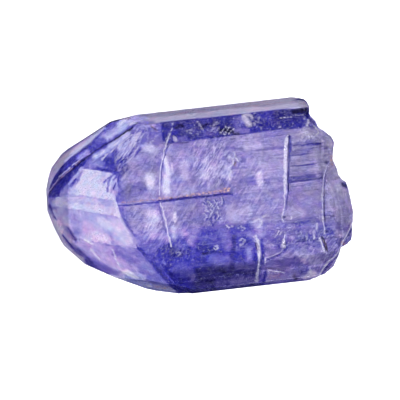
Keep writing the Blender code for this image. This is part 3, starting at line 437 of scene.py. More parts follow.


# Lines and patches that only change the depth of the colour: darker lines along edges, growth bands, and
# painted light and shade, that is painted glows, the painted lit and shaded patches seen through the clear
# crystal, and the painted shadows of grooves, hairlines, steps and squiggles. Each has its tone, its width
# and softness in mm, and its strokes. Later ones lie over earlier ones.
TONE_LINES = {
    "edge of the tip's roof": (0.84, 0.12, 0.1, [(119, 173), (118, 186), (117.5, 201)]),
    "under the ridge": (0.66, 0.07, 0.06, [(117.8, 203), (120.5, 210), (123, 216), (126, 223), (130, 230),
        (134.5, 239), (138, 247)]),
    "edge of the deep floor": (0.92, 0.22, 0.2, [(154, 265), (160, 272), (166, 279), (173, 286),
        (180, 291)]),
    "inside the rim": (0.72, 0.09, 0.08, [(48.5, 205), (53.5, 214), (59, 227), (63, 236), (71, 246.5),
        (79, 253.5), (89, 259.5), (99, 267), (111, 275), (124, 280.5)]),
    "second line of the rim": (0.62, 0.05, 0.09, [(57, 211), (61, 217), (65, 222), (68, 229), (72, 235),
        (76, 243)]),
    "crescent's edge": (0.97, 0.1, 0.1, [(62, 167), (70, 159), (80, 150), (95, 138), (105, 128),
        (112, 121)]),
    "crescent's grey streak": (0.34, 0.16, 0.16, [(56, 161), (62, 154), (78, 142.5), (95, 132)]),
    "light stripe of the shoulder": (0.26, 0.16, 0.16, [(64, 189), (73, 179), (82, 168)]),
    "lilac glow of the shoulder": (0.35, 0.25, 0.3, [(79, 157), (87, 152)]),
    "roof's upper border": (0.3, 0.08, 0.1, [(60, 195), (85, 196.5), (113, 201.5)]),
    "ridge's middle": (0.26, 0.06, 0.1, [(62, 201), (85, 203), (115, 206)]),
    "ridge's upper strip": (0.15, 0.3, 0.2, [(64, 198), (85, 200), (113, 204)]),
    "ridge's lower line": (0.32, 0.08, 0.1, [(56, 207.5), (75, 210.5), (95, 214), (117, 217)]),
    "fold of the lower roof": (0.36, 0.1, 0.2, [(106, 216), (109, 230), (114, 246)]),
    "second fold of the lower roof": (0.4, 0.06, 0.1, [(121, 225), (127, 232), (134, 242)]),
    "border of the outer roof": (0.44, 0.05, 0.1, [(92, 242), (110, 245), (120, 246.5), (135, 248)]),
    "dark blotch of the outer roof": (0.92, 0.5, 0.5, [(108, 162), (117, 165)]),
    "line of the outer roof": (0.95, 0.08, 0.12, [(92, 163), (97, 168), (110, 171), (118, 173)]),
    "branch of the pale facet": (0.7, 0.06, 0.1, [(121, 170), (114, 174), (108, 179), (104, 182)]),
    "second branch of the pale facet": (0.55, 0.06, 0.1, [(113, 175), (108, 183), (108, 191)]),
    "third branch of the pale facet": (0.45, 0.05, 0.1, [(117, 177), (113, 183), (111, 192)]),
    # Painted glows: the first entry here, the lens and the glows over and under it.
    "glow beside the hairline": (0.02, 0.2, 0.6, [(149, 176), (151, 187)]),
    "lens beside the hairline": (0.02, 0.1, 0.4, [(164.5, 158), (167, 166), (168.5, 174)]),
    "glow under the lens": (0.0, 0.2, 0.5, [(166, 178), (168, 184), (168, 191)]),
    "thin glow over the lens": (0.12, 0.06, 0.15, [(172, 163), (173, 172)]),
    "pale corner of the left": (0.44, 0.6, 0.4, [(131, 168), (140, 174)]),
    "round glow": (0.16, 0.45, 0.6, [(151, 212), (154, 218)]),
    "second round glow": (0.26, 0.5, 0.7, [(150, 223), (153, 232)]),
    "glow right of the hairline": (0.12, 0.16, 0.25, [(175, 214), (174, 220)]),
    "second glow right of the hairline": (0.16, 0.25, 0.3, [(174, 228), (175, 238)]),
    "violet stripe": (0.26, 0.4, 0.4, [(184, 164), (185, 192)]),
    "glow over the middle": (0.3, 0.5, 0.7, [(208, 165), (207, 178)]),
    "shade left of the hairline": (0.56, 0.35, 0.6, [(148, 168), (158, 166)]),
    "band over the long groove": (0.53, 0.5, 0.5, [(172, 188), (200, 184), (230, 183), (280, 180)]),
    "band under the top edge": (0.5, 0.2, 0.5, [(175, 147), (230, 141), (283, 134)]),
    "first growth line": (0.85, 0.05, 0.08, [(291.5, 145.5), (305, 144.5), (327, 142.5)]),
    "second growth line": (0.62, 0.25, 0.15, [(291, 151.5), (310, 150), (326, 147)]),
    "third growth line": (0.8, 0.05, 0.08, [(290, 156), (308, 154)]),
    "fourth growth line": (0.86, 0.05, 0.08, [(289, 166.5), (305, 165), (327, 162)]),
    "fifth growth line": (0.42, 0.05, 0.08, [(290, 172), (310, 169.5), (326, 168)]),
    "broad growth band": (0.84, 0.42, 0.1, [(288.5, 180), (305, 178), (321, 176)]),
    "growth line of the middle": (0.66, 0.05, 0.1, [(216, 149), (225, 147.5), (258, 150), (283, 147)]),
    "second line of the middle": (0.62, 0.04, 0.1, [(258, 160.5), (270, 159), (283, 157.5)]),
    "third line of the middle": (0.6, 0.05, 0.1, [(233, 168.5), (245, 168), (262, 166)]),
    "fourth line of the middle": (0.6, 0.1, 0.12, [(231, 175.5), (241, 174.5)]),
    "dark step of the lower right": (0.66, 0.2, 0.3, [(295, 220), (315, 218), (332, 216.5)]),
    "edge of the lower part": (0.66, 0.04, 0.1, [(195, 229.5), (215, 226), (236, 223.5)]),
    "crisp edge of the deep floor": (0.8, 0.05, 0.1, [(170, 257.5), (185, 256), (230, 250.5),
        (257, 247.5)]),
    "pale shelf of the deep floor": (0.6, 0.4, 0.45, [(212, 259.5), (229, 257.5)]),
    "upright shadow": (0.84, 0.35, 0.25, [(234, 237), (232, 256), (230, 276)]),
    "deep blue left of the middle": (0.86, 0.6, 0.9, [(160, 248), (182, 249), (204, 246)]),
    "wide blue wash": (0.7, 0.4, 0.7, [(195, 236), (215, 234)]),
    "glow of the lower right": (0.42, 0.3, 0.4, [(249, 250), (249, 262)]),
    "blue wall of the cross groove": (0.62, 0.1, 0.1, [(262, 262), (261, 275)]),
    "arc of the lower right": (0.66, 0.04, 0.1, [(288, 258), (296, 257), (301, 262), (303, 270)]),
    "band across the right": (0.7, 0.25, 0.25, [(268, 242), (285, 240), (300, 239), (318, 238)]),
    "beyond the lip": (0.42, 0.3, 0.25, [(352, 230), (346, 245), (341, 256), (331, 266), (325, 272)]),
    "chip under the top": (0.86, 0.2, 0.2, [(342, 184.5), (347, 186)]),
    "light of the foot": (0.3, 0.25, 0.4, [(122, 263), (128, 269)]),
    "bright streak of the foot": (0.04, 0.3, 0.22, [(126, 272), (131, 275), (138, 277.5)]),
    "pale spot of the foot": (0.22, 0.15, 0.2, [(147, 271.5), (152, 273)]),
    "second pale spot of the foot": (0.3, 0.12, 0.2, [(133, 267), (139, 272), (146, 279)]),
    "pale lines beside the floor's edge": (0.42, 0.05, 0.1, [(163, 261), (169, 268), (176, 275)]),
    "deep rim": (0.5, 0.3, 0.3, [(76, 250), (90, 258.5), (102, 266), (116, 274)]),
    "first cloud of the outer roof": (0.22, 0.25, 0.3, [(95, 157), (103, 152)]),
    "second cloud of the outer roof": (0.24, 0.15, 0.3, [(114, 144), (118, 141.5)]),
    "third cloud of the outer roof": (0.3, 0.15, 0.3, [(124, 138), (127, 136)]),
    "fourth cloud of the outer roof": (0.28, 0.15, 0.25, [(108, 150), (113, 156)]),
    "grey smudge": (0.62, 0.5, 0.5, [(210, 217), (216, 226)]),
    "lilac stripe of the rim": (0.06, 0.2, 0.15, [(54, 211), (58, 220), (62, 228), (66, 236), (70, 241)]),
    "light of the tip": (0.14, 0.5, 0.4, [(60, 212), (66, 222)]),
    "crescent's blue border": (0.02, 0.25, 0.15, [(59, 161), (66, 155.5), (76, 149.5), (90, 139.5),
        (103, 127)]),
    # Painted shadows: the dark walls and lines beside the grooves and hairlines, down to the line beside the
    # right hairline.
    "under the long groove": (0.9, 0.07, 0.05, [(119, 205.5), (130, 205), (145, 203.6), (157, 202)]),
    "right wall of the cross groove": (0.92, 0.16, 0.07, [(289.6, 136.5), (290, 145), (289.6, 155),
        (288.9, 160)]),
    "right wall of its tail": (0.7, 0.05, 0.06, [(287, 197), (286, 204), (285.5, 210)]),
    "right wall of the lower groove": (0.92, 0.16, 0.1, [(261.5, 236), (262.5, 244), (263, 252),
        (263, 259)]),
    "foot of the lower groove": (0.92, 0.18, 0.1, [(266, 268), (265, 277), (263, 284)]),
    "beside the hairline": (0.8, 0.03, 0.05, [(173.5, 127), (172.5, 133), (168.5, 143), (165.7, 152),
        (163, 162), (161.8, 172), (161.6, 186)]),
    "beside the lower hairline": (0.8, 0.03, 0.05, [(159, 206), (161.7, 214), (163.5, 222), (166, 232),
        (168.5, 243)]),
    "beside the right hairline": (0.6, 0.03, 0.05, [(325, 175), (324, 190), (323.8, 205)]),
    "light of the strip's left end": (0.0, 0.5, 0.4, [(118, 119), (140, 114.5), (158, 113)]),
    "light of the strip's right half": (0.0, 0.35, 0.4, [(205, 109), (240, 105.5)]),
    "light right of the band's middle": (0.34, 0.6, 0.4, [(240, 142), (252, 141)]),
    "light right of the middle": (0.38, 0.8, 0.9, [(258, 168), (282, 168)]),
    "light under the middle": (0.38, 0.8, 0.9, [(228, 214), (250, 212)]),
    "speckled light over the lower groove": (0.35, 0.5, 0.7, [(257, 222), (261, 232)]),
    "deep blue right of the step": (0.72, 0.5, 0.6, [(272, 248), (282, 246)]),
    "deep blue under the shoulder": (0.85, 0.5, 0.5, [(112, 164), (118, 168), (119, 172)]),
    "lilac of the tip's foot": (0.28, 0.5, 0.5, [(124, 250), (130, 252)]),
    "blue of the rim's end": (0.1, 0.2, 0.2, [(110, 276.5), (124, 281.5)]),
    "light blue glow of the shoulder": (0.24, 0.4, 0.35, [(102, 140), (112, 133), (124, 126)]),
    "light streak of the shoulder": (0.16, 0.1, 0.15, [(108, 137), (118, 131), (128, 124)]),
    "light at the shoulder's end": (0.1, 0.2, 0.25, [(119, 125), (124, 121), (130, 119)]),
    "blue of the shoulder": (0.62, 0.2, 0.2, [(108, 128), (113, 122), (118, 120)]),
    "second dark blotch of the outer roof": (0.84, 0.5, 0.5, [(115, 153), (118, 160)]),
    "pale clouds of the outer roof": (0.18, 0.25, 0.3, [(110, 147), (118, 141), (128, 133)]),
    "second pale cloud of the outer roof": (0.2, 0.22, 0.25, [(94, 156), (101, 152), (108, 149)]),
    "pale strokes of the outer roof": (0.14, 0.25, 0.3, [(126, 152), (132, 144), (138, 134)]),
    "dark strokes of the outer roof": (0.85, 0.03, 0.05, [(120, 148), (128, 139)], [(126, 156), (134, 144)],
        [(131, 152), (139, 138)], [(137, 146), (142, 134)], [(123, 165), (132, 153)], [(133, 160),
        (141, 148)], [(119, 156), (125, 148)]),
    "pale facet's upper edge": (0.7, 0.04, 0.06, [(84, 168), (95, 169.5), (110, 172), (119, 173.5)]),
    "outer side of the strip": (0.0, 0.35, 0.15, [(140, 114), (200, 108), (260, 102), (300, 98)]),
    "light streak of the strip": (0.0, 0.1, 0.15, [(205, 112), (250, 108)]),
    "dark outline of the strip's end": (0.8, 0.05, 0.06, [(294, 100), (299, 98.8), (304, 99.5),
        (307, 103)]),
    "shadows of the squiggles of the right end": (0.72, 0.04, 0.05,
        *shifted(MILK_AND_HIGHLIGHT_LINES["squiggles of the right end"][3:], 1, 1)),
    # Painted shadows of the cross groove's lower wall, the step, the lip, the long groove and the squiggles,
    # with a painted light among them.
    "right wall of the cross groove, lower part": (0.82, 0.07, 0.06, [(288.9, 160), (288.2, 170),
        (288, 183), (287.8, 194)]),
    "shadow of the step": (0.85, 0.05, 0.06, [(286.5, 243), (286, 249), (281.5, 254), (273, 257.3),
        (267.5, 260)]),
    "dark beside the lip": (0.85, 0.05, 0.06, [(352, 228.5), (348, 236), (343.5, 244), (341.5, 251),
        (336.5, 257.5), (331.5, 261.5), (324.5, 269.5), (321.5, 275.5)]),
    "light of the lower right band": (0.24, 0.4, 0.4, [(300, 258.5), (326, 256.5)]),
    "under the long groove, thick end": (0.98, 0.2, 0.06, [(157, 201.8), (176, 199.5), (190, 197.8),
        (210, 195.9), (222, 194.4), (232, 193.4)]),
    "shadows of the squiggles of the middle": (0.88, 0.05, 0.05,
        *shifted(MILK_AND_HIGHLIGHT_LINES["squiggles of the middle"][3:], 1.3, 0.6)),
    "light over the thick groove": (0.36, 0.5, 0.6, [(165, 192), (190, 188)]),
    "light across the long groove": (0.36, 0.5, 0.6, [(146, 208), (150, 196)]),
    "light right of the lower hairline": (0.4, 0.5, 0.5, [(178, 232), (186, 232)]),
    "light of the lower part": (0.55, 0.4, 0.5, [(223, 231), (228, 246)]),
    "shade under the middle": (0.56, 0.5, 0.7, [(196, 214), (200, 222)]),
    "deep blue around the spot": (0.93, 0.4, 0.4, [(203, 249), (213, 250)]),
    "second deep blue of the lower part": (0.93, 0.4, 0.5, [(166, 252), (180, 253)]),
    "light left of the dashes": (0.36, 0.5, 0.6, [(290, 214), (300, 214)]),
    "light of the lip's foot": (0.36, 0.5, 0.5, [(318, 262), (330, 256)]),
    "first blotch of the foot": (1.0, 0.35, 0.4, [(198, 271), (199, 278)]),
    "second blotch of the foot": (1.0, 0.35, 0.35, [(209, 280), (214, 283)]),
    "third blotch of the foot": (1.0, 0.16, 0.25, [(221, 271), (233, 275.5)]),
    "purple of the foot": (0.6, 0.4, 0.4, [(218, 284), (229, 283)]),
    "light at the foot's edge": (0.66, 0.2, 0.3, [(243, 282), (256, 279.5)]),
    "shade over the foot": (0.92, 0.4, 0.5, [(201, 264), (208, 268)]),
    "blue left of the foot": (0.6, 0.7, 0.6, [(182, 270), (189, 276)]),
    "rose left of the spot": (0.66, 0.2, 0.3, [(194, 246), (193, 256)]),
    "light of the lower part's left end": (0.58, 0.4, 0.5, [(143, 249), (150, 250), (157, 244)]),
    "light left of the lower part": (0.4, 0.3, 0.5, [(190, 242), (197, 228)]),
    "shade of the loop": (0.78, 0.4, 0.4, [(240, 247), (248, 243)]),
    "shade of the lower part": (0.74, 0.4, 0.5, [(208, 235), (215, 237)]),
    "blue of the tip's foot": (0.56, 0.5, 0.5, [(143, 275), (155, 279)]),
    "top of the deep floor's edge": (0.84, 0.12, 0.18, [(139, 248.5), (146, 256), (154, 265)]),
    "light of the foot's top": (0.32, 0.4, 0.4, [(128, 258), (135, 262)]),
    "light of the right foot": (0.12, 0.35, 0.3, [(304, 275), (314, 273.5)]),
    "shade at the arc": (0.52, 0.3, 0.4, [(280, 260), (288, 260)]),
    "light under the band's end": (0.22, 0.5, 0.5, [(306, 131.5), (318, 134.5), (328, 142)]),
    "shade of the right break": (0.58, 0.5, 0.4, [(330, 223), (342, 226)]),
    "shade over the brown crack": (0.8, 0.6, 0.6, [(312, 233), (326, 231)]),
    "light beside the right hairline": (0.28, 0.3, 0.5, [(331, 199), (333, 211)]),
    "light of the edge chip": (0.16, 0.3, 0.4, [(339, 187), (343, 195)]),
    "light of the band's middle": (0.66, 0.35, 0.35, [(236, 120), (238, 127)]),
    "light over the first line": (0.26, 0.4, 0.4, [(247, 147), (258, 146)]),
    "deep end of the band": (1.0, 0.4, 0.3, [(278, 115), (304, 113)]),
    "light of the strip's fleck": (0.0, 0.25, 0.3, [(181, 116), (196, 114)]),
    "light left of the blotch": (0.46, 0.4, 0.4, [(91, 164), (101, 164)]),
    "dark end of the outer roof": (0.8, 0.35, 0.3, [(120, 167), (126, 163)]),
    "navy of the shoulder's middle": (0.88, 0.35, 0.25, [(94, 150.5), (104, 144)]),
    "blue over the shoulder's middle": (0.7, 0.3, 0.25, [(96, 145), (103, 140)]),
    "light of the shoulder's end": (0.18, 0.3, 0.3, [(129, 123), (136, 121.5)]),
    "shade of the lower roof's left": (0.42, 0.5, 0.5, [(75, 218), (77, 230)]),
    "light of the point": (0.06, 0.3, 0.3, [(54, 203), (62, 203)]),
    "shade right of the squiggles": (0.6, 0.4, 0.4, [(214, 212), (222, 213)]),
    "light along the right step": (0.34, 0.4, 0.6, [(318, 152), (320, 168)]),
    "light of the band's foot": (0.5, 0.26, 0.25, [(234, 131.5), (247, 130.5)]),
    "mid blue of the band": (0.7, 0.4, 0.4, [(206, 133), (215, 131)]),
    "light of the foot's lower part": (0.3, 0.3, 0.3, [(136, 274), (143, 278)]),
    "light of the far left": (0.2, 0.4, 0.4, [(64, 193), (72, 190)]),
    "light beside the tip's edge": (0.26, 0.3, 0.4, [(114, 184), (116, 192)]),
    "light left of the hairline's foot": (0.36, 0.4, 0.5, [(153, 190), (158, 190)]),
    "roof shade": (0.36, 0.3, 0.4, [(131, 162), (138, 160)]),
    "second light over the middle": (0.3, 0.3, 0.5, [(121, 149), (128, 146)]),
    "shade over the long groove": (0.62, 0.5, 0.6, [(122, 196), (142, 188)]),
    "light of the right break's middle": (0.26, 0.4, 0.3, [(337, 206), (344, 210)]),
    "light over the foot": (0.6, 0.4, 0.4, [(238, 266), (255, 266)]),
    "light of the arc": (0.46, 0.3, 0.3, [(291, 260), (295, 261)]),
    "bright stripe of the middle": (0.14, 0.3, 0.3, [(259, 175), (260, 183)]),
    "light over the step": (0.48, 0.3, 0.4, [(289, 235), (295, 237)]),
    "light at the hairline's foot": (0.02, 0.3, 0.4, [(165, 184), (166, 191)]),
    "light of the lower left": (0.38, 0.4, 0.5, [(161, 236), (166, 238)]),
    "light left of the band": (0.36, 0.4, 0.4, [(145, 124), (151, 124)]),
    "glow before the glint": (0.5, 0.25, 0.25, [(240, 117), (243, 122)]),
    "light at the lower groove's top": (0.42, 0.3, 0.4, [(250, 234), (254, 238)]),
    "light of the band's lower left": (0.66, 0.3, 0.3, [(176, 140), (185, 139)]),
    "light of the bottom edge": (0.74, 0.2, 0.2, [(184, 285), (192, 284)]),
    "second light of the bottom edge": (0.68, 0.25, 0.25, [(224, 285), (240, 283)]),
    "blue before the deep floor": (0.66, 0.3, 0.3, [(150, 257), (158, 262)]),
    "deep of the floor": (0.92, 0.4, 0.4, [(169, 267), (175, 272)]),
    "pits of the chalky wiggle": (0.72, 0.03, 0.05, [(231.5, 158), (234.5, 161), (232.5, 167)]),
    "light beside the chalky wiggle": (0.18, 0.3, 0.4, [(227, 168), (228, 177)]),
    "second shade at the arc": (0.62, 0.4, 0.4, [(298, 265), (303, 271)]),
    "second shade of the squiggles": (0.64, 0.4, 0.4, [(208, 211), (214, 214)]),
    "light right of the lower groove": (0.46, 0.3, 0.4, [(266, 266), (271, 269)]),
    "shade at the lip": (0.64, 0.4, 0.4, [(333, 248), (329, 256)]),
    "light left of the curved step": (0.5, 0.4, 0.4, [(266, 243), (272, 246)]),
    "lower roof's middle": (0.28, 0.5, 0.5, [(82, 216), (90, 218)]),
    "light of the outer lower roof": (0.34, 0.3, 0.4, [(84, 246), (90, 252)]),
    "jags of the tip's edge": (0.8, 0.04, 0.06, [(117, 175), (113, 181)], [(122, 175), (119, 182)],
        [(124, 173.5), (128, 169)], [(119, 185), (122, 190)], [(118.5, 193), (121.5, 197)], [(116, 183),
        (113.5, 189)], [(121, 208), (124, 212)], [(125, 219), (128, 223)], [(131, 230), (135, 236)]),
    "dark cores of the squiggles": (0.86, 0.07, 0.09, [(206, 199), (209, 205)], [(211, 203), (213, 212)],
        [(207, 209), (212, 216)], [(214, 214), (217, 221)], [(209, 219), (213, 225)]),
    "light left of the point": (0.0, 0.3, 0.3, [(54, 222), (60, 232)]),
    "shade over the middle": (0.56, 0.4, 0.6, [(203, 148), (213, 156)]),
    "light of the lower part's left": (0.62, 0.3, 0.5, [(177, 243), (184, 245)]),
    "light along the ridge": (0.3, 0.3, 0.3, [(129, 234), (134, 243)]),
    "shade of the outer roof's corner": (0.62, 0.3, 0.4, [(138, 130), (142, 135)]),
    "light before the dark foot": (0.78, 0.3, 0.4, [(226, 266), (231, 270)]),
    "lilac of the rim's middle": (0.16, 0.16, 0.16, [(64, 232), (70, 240)]),
    "light of the shoulder's top": (0.16, 0.2, 0.25, [(98, 133), (104, 129)]),
    "inner edge of the glow": (0.74, 0.06, 0.1, [(104, 129.5), (96, 137), (90, 143)]),
    "grey of the foot's right end": (0.58, 0.35, 0.4, [(233, 280), (244, 279.5), (256, 280)]),
    "light under the cross groove": (0.5, 0.45, 0.5, [(267, 229), (280, 227), (290, 228)]),
    "light before the dashes": (0.56, 0.35, 0.5, [(305, 229), (314, 229)]),
    "light under the chips": (0.5, 0.4, 0.5, [(283, 262), (294, 261)]),
    "light above the lip": (0.44, 0.4, 0.5, [(322, 260), (328, 256)]),
    "light of the break's foot": (0.42, 0.35, 0.4, [(343, 222), (346, 227)]),
    "light beside the foot's ridge": (0.7, 0.35, 0.4, [(174, 270), (180, 276)]),
    "shade beside the foot's ridge": (0.76, 0.4, 0.5, [(179, 262), (185, 265)]),
    "black spot left of the foot": (0.97, 0.22, 0.3, [(181, 280), (188, 278)]),
    "light of the deep floor": (0.6, 0.4, 0.5, [(214, 259), (228, 261)]),
    "pale end of the dark step": (0.5, 0.12, 0.15, [(317, 176), (325, 175)]),
    "light right of the etching": (0.18, 0.35, 0.4, [(216, 170), (224, 175)]),
    "light left of the corner": (0.2, 0.35, 0.4, [(145, 147), (151, 149)]),
    "light of the ridge's end": (0.0, 0.3, 0.3, [(57, 203), (64, 203)]),
    # Painted shadow beside the thin groove.
    "dark line of the thin groove": (0.9, 0.09, 0.05, [(136, 204.4), (148, 203), (158, 201.8)]),
    "light along the brow of the foot": (0.58, 0.35, 0.4, [(184, 275), (192, 274)]),
    "shade of the tip's foot": (0.5, 0.5, 0.6, [(117, 252), (129, 255), (135, 258)]),
    "navy over the rim": (0.62, 0.32, 0.4, [(88, 262), (97, 267.5), (106, 271.5)]),
    "light of the lower roof": (0.08, 0.5, 0.5, [(95, 235), (103, 238)]),
    "light of the roof's right": (0.12, 0.5, 0.6, [(100, 224), (118, 226), (127, 240)]),
}

# The solid's copy is diced into small faces, finest on top. Steps are in mm.
FACE_STEP = 0.180
SIDE_STEP = 0.23
UNDER_STEP = 0.46
FACETS_MEET = 0.999995
LOOKS_UP = 0.25
LOOKS_RIGHT = 0.2
LOOKS_DOWN = -0.4

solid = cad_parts["crystal"]
bm = bmesh.new()
bm.from_mesh(solid.data)
bmesh.ops.remove_doubles(bm, verts=bm.verts, dist=1e-7)
inside_a_face = bm.edges.layers.int.new("inside_a_face")
for e in bm.edges:
    if len(e.link_faces) == 2 and e.link_faces[0].normal.dot(e.link_faces[1].normal) > FACETS_MEET:
        e[inside_a_face] = 1


def dice(bm, faces, axis, low, high, step):
    """Cuts faces along evenly spaced planes, halving the range each time."""
    count = int(round((high - low) / step))
    if count < 2 or not faces:
        return
    middle = low + (count // 2) * step
    place = [0.0, 0.0, 0.0]
    place[axis] = middle
    normal = [0.0, 0.0, 0.0]
    normal[axis] = 1.0

    def is_crossed(f):
        heights = [v.co[axis] for v in f.verts]
        return min(heights) < middle < max(heights)

    crossing = [f for f in faces if is_crossed(f)]
    rest = [f for f in faces if not is_crossed(f)]
    edges = {e for f in crossing for e in f.edges}
    verts = {v for f in crossing for v in f.verts}
    cut = bmesh.ops.bisect_plane(
        bm, geom=list(verts) + list(edges) + crossing, dist=1e-8, plane_co=place, plane_no=normal
    )
    every = rest + [g for g in cut["geom"] if isinstance(g, bmesh.types.BMFace)]
    below = [f for f in every if f.calc_center_median()[axis] < middle]
    above = [f for f in every if f.calc_center_median()[axis] >= middle]
    dice(bm, below, axis, low, middle, step)
    dice(bm, above, axis, middle, high, step)


def looks_up(f):
    return f.normal.z > LOOKS_UP


def looks_down(f):
    return f.normal.z < LOOKS_DOWN


def is_broken(f):
    return not looks_up(f) and not looks_down(f) and f.normal.x > LOOKS_RIGHT


low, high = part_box("crystal")
coarse = 1.0
for axis in (0, 1):
    dice(bm, [f for f in bm.faces if looks_up(f)], axis, low[axis], high[axis], coarse * FACE_STEP * MM)
for axis in (0, 1, 2):
    sides = [f for f in bm.faces if not looks_up(f) and not is_broken(f) and not looks_down(f)]
    dice(bm, sides, axis, low[axis], high[axis], coarse * SIDE_STEP * MM)
for axis in (0, 1):
    dice(bm, [f for f in bm.faces if looks_down(f)], axis, low[axis], high[axis], coarse * UNDER_STEP * MM)
bmesh.ops.dissolve_edges(
    bm, edges=[e for e in bm.edges if e[inside_a_face]], use_verts=False, use_face_split=False
)
broken_edges = {e for f in bm.faces if is_broken(f) for e in f.edges}
bmesh.ops.subdivide_edges(bm, edges=list(broken_edges), cuts=1, use_grid_fill=True)
bmesh.ops.triangulate(bm, faces=[f for f in bm.faces if len(f.verts) > 4])

# The top is divided more finely along its marks: once within MARK_REACH of them and of the crisp borders of
# its zones, and again within LINE_REACH of the milky and highlight, dark and shadow, and rust and glint
# ones. Wide soft marks don't need it.
MARK_REACH = 0.10
LINE_REACH = 0.05
SOFTEST_MARK = {MARK_REACH: 0.35, LINE_REACH: 0.24}
SOFTEST_BORDER = 0.12

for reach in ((MARK_REACH, LINE_REACH)):
    spots = in_photo(np.array([v.co for v in bm.verts]) / MM)
    close = np.zeros(len(spots), dtype=bool)
    first_round = reach == MARK_REACH
    for table in (MILK_AND_HIGHLIGHT_LINES, DARK_FLAW_AND_SHADOW_LINES, RUST_AND_GLINT_LINES) + ((TONE_LINES,) if first_round else ()):
        for strength, width, soft, *strokes in table.values():
            if width + soft > SOFTEST_MARK[reach]:
                continue
            for points in strokes:
                which, away = near_line(spots, points, width + reach)
                close[which[away < width / 2 + reach]] = True
    for shade, lean, soft, outline in ZONES.values():
        if first_round and soft <= SOFTEST_BORDER:
            which, away = near_line(spots, outline + outline[:1], reach)
            close[which[away < 0.5 * reach]] = True
    bm.verts.ensure_lookup_table()
    chosen = {v for v, is_close in zip(bm.verts, close) if is_close and v.normal.z > LOOKS_UP}
    fine_edges = [e for e in bm.edges if e.verts[0] in chosen and e.verts[1] in chosen]
    bmesh.ops.subdivide_edges(bm, edges=fine_edges, cuts=1, use_grid_fill=True)
    bmesh.ops.triangulate(bm, faces=[f for f in bm.faces if len(f.verts) > 4])
    bm.normal_update()

SHARP_EDGE = math.radians(12)
edge_points = set()
broken_points = set()
for e in bm.edges:
    if e.is_manifold and e.calc_face_angle(0) > SHARP_EDGE:
        edge_points.update((e.verts[0].index, e.verts[1].index))
for f in bm.faces:
    if is_broken(f):
        broken_points.update(v.index for v in f.verts)
edge_points = list(edge_points)
broken_points = list(broken_points)
shortest = np.array([min(e.calc_length() for e in v.link_edges) for v in bm.verts]) / MM

mesh = bpy.data.meshes.new("tanzanite_crystal")
bm.to_mesh(mesh)
bm.free()
mesh.polygons.foreach_set("use_smooth", [True] * len(mesh.polygons))
crystal = bpy.data.objects.new("tanzanite_crystal", mesh)
bpy.context.scene.collection.objects.link(crystal)

# Where each point of the surface is, which way it faces and where it is seen. The marks of the top fade out
# where the surface turns sideways, over SIDEWAYS_FADE of the height of its normal.
SIDEWAYS = 0.02
SIDEWAYS_FADE = 0.06

count = len(mesh.vertices)
place = np.empty(count * 3)
mesh.vertices.foreach_get("co", place)
place = place.reshape(-1, 3) / MM
facing = np.empty(count * 3)
mesh.vertices.foreach_get("normal", facing)
facing = facing.reshape(-1, 3)
seen = in_photo(place)
faces_up = np.clip((facing[:, 2] - SIDEWAYS) / SIDEWAYS_FADE, 0, 1)


def blend(value):
    """An even change from 0 to 1 made to start and end gently."""
    value = np.clip(value, 0, 1)
    return value * value * (3 - 2 * value)


def field(size, detail=1, seed=0.0):
    """Smooth noise from -1 to 1 over the surface. size is its grain in mm along x, y and z."""
    scale = Vector([1 / s for s in size])
    shift = Vector((seed, seed * 0.7, seed * 1.3))
    if detail == 1:
        return np.array([noise.noise(Vector(p) * scale + shift) for p in place])
    return np.array([noise.fractal(Vector(p) * scale + shift, 0.6, 2.0, detail) for p in place])


WANDER = 0.6
WANDER_GRAIN = (0.5, 0.5, 0.5)
UNEVEN_WIDTH = 0.5
UNEVEN_GRAIN = (0.30, 0.30, 0.30)
uneven = field(UNEVEN_GRAIN, 1, 13.0)
drift = (field(WANDER_GRAIN, 1, 41.0), field(WANDER_GRAIN, 1, 47.0))
wandering = seen + WANDER * np.stack(drift, axis=1)


def on_line(points, width, soft):
    """1 on a line seen from above, 0 off it: uneven in width, and wandering a little."""
    reached = np.zeros(count)
    which, away = near_line(wandering, points, width + soft)
    reached[which] = blend((width / 2 * (1 + UNEVEN_WIDTH * uneven[which]) + soft - away) / soft)
    return reached * faces_up


def in_zone(points, soft):
    """1 inside an outline seen from above, 0 outside, fading over soft mm."""
    inside = np.zeros(count, dtype=bool)
    closed = list(points) + [points[0]]
    for (ax, ay), (bx, by) in zip(closed, closed[1:]):
        if ay == by:
            continue
        spans = (ay > seen[:, 1]) != (by > seen[:, 1])
        inside ^= spans & (seen[:, 0] < (bx - ax) * (seen[:, 1] - ay) / (by - ay) + ax)
    reached = inside.astype(float)
    which, away = near_line(seen, closed, soft)
    reached[which] = blend(0.5 + np.where(inside[which], away, -away) / soft)
    return reached * faces_up


def strongest_line(table, narrower=1.0, crisper=1.0):
    """How strongly the strokes of a table show, drawn at a share of their width and softness."""
    shown = np.zeros(count)
    for strength, width, soft, *strokes in table.values():
        for points in strokes:
            shown = np.maximum(shown, strength * on_line(points, narrower * width, crisper * soft))
    return shown


def strongest_zone(table, shown):
    """How strongly the zones of a table show over what shows already."""
    for strength, soft, outline in table.values():
        shown = np.maximum(shown, strength * in_zone(outline, soft))
    return shown


# Each facet has its own tone, given as its middle and how far it varies. The back and the lower sides, which
# the marks don't reach, are pale, so that light comes through them. The grown end counts as back further up
# its sides. Then the zones and the lines of the top are laid over one another.
FACES_FLOOR = -0.9
FACES_DOWN = -0.2
FACES_SIDEWAYS = 0.2
GROWN_END = -8.0
BLUNT_TIP = -12.0
FACET_VARIETY = 2.3
FACET_TONE = (0.48, 0.20)
LOWER_TONE = (0.24, 0.14)
BACK_TONE = (0.06, 0.06)
BREAK_TONE = (0.46, 0.12)
BREAK_GRAIN = (1.6, 0.9, 1.2)
EVEN_WARMTH = 0.45

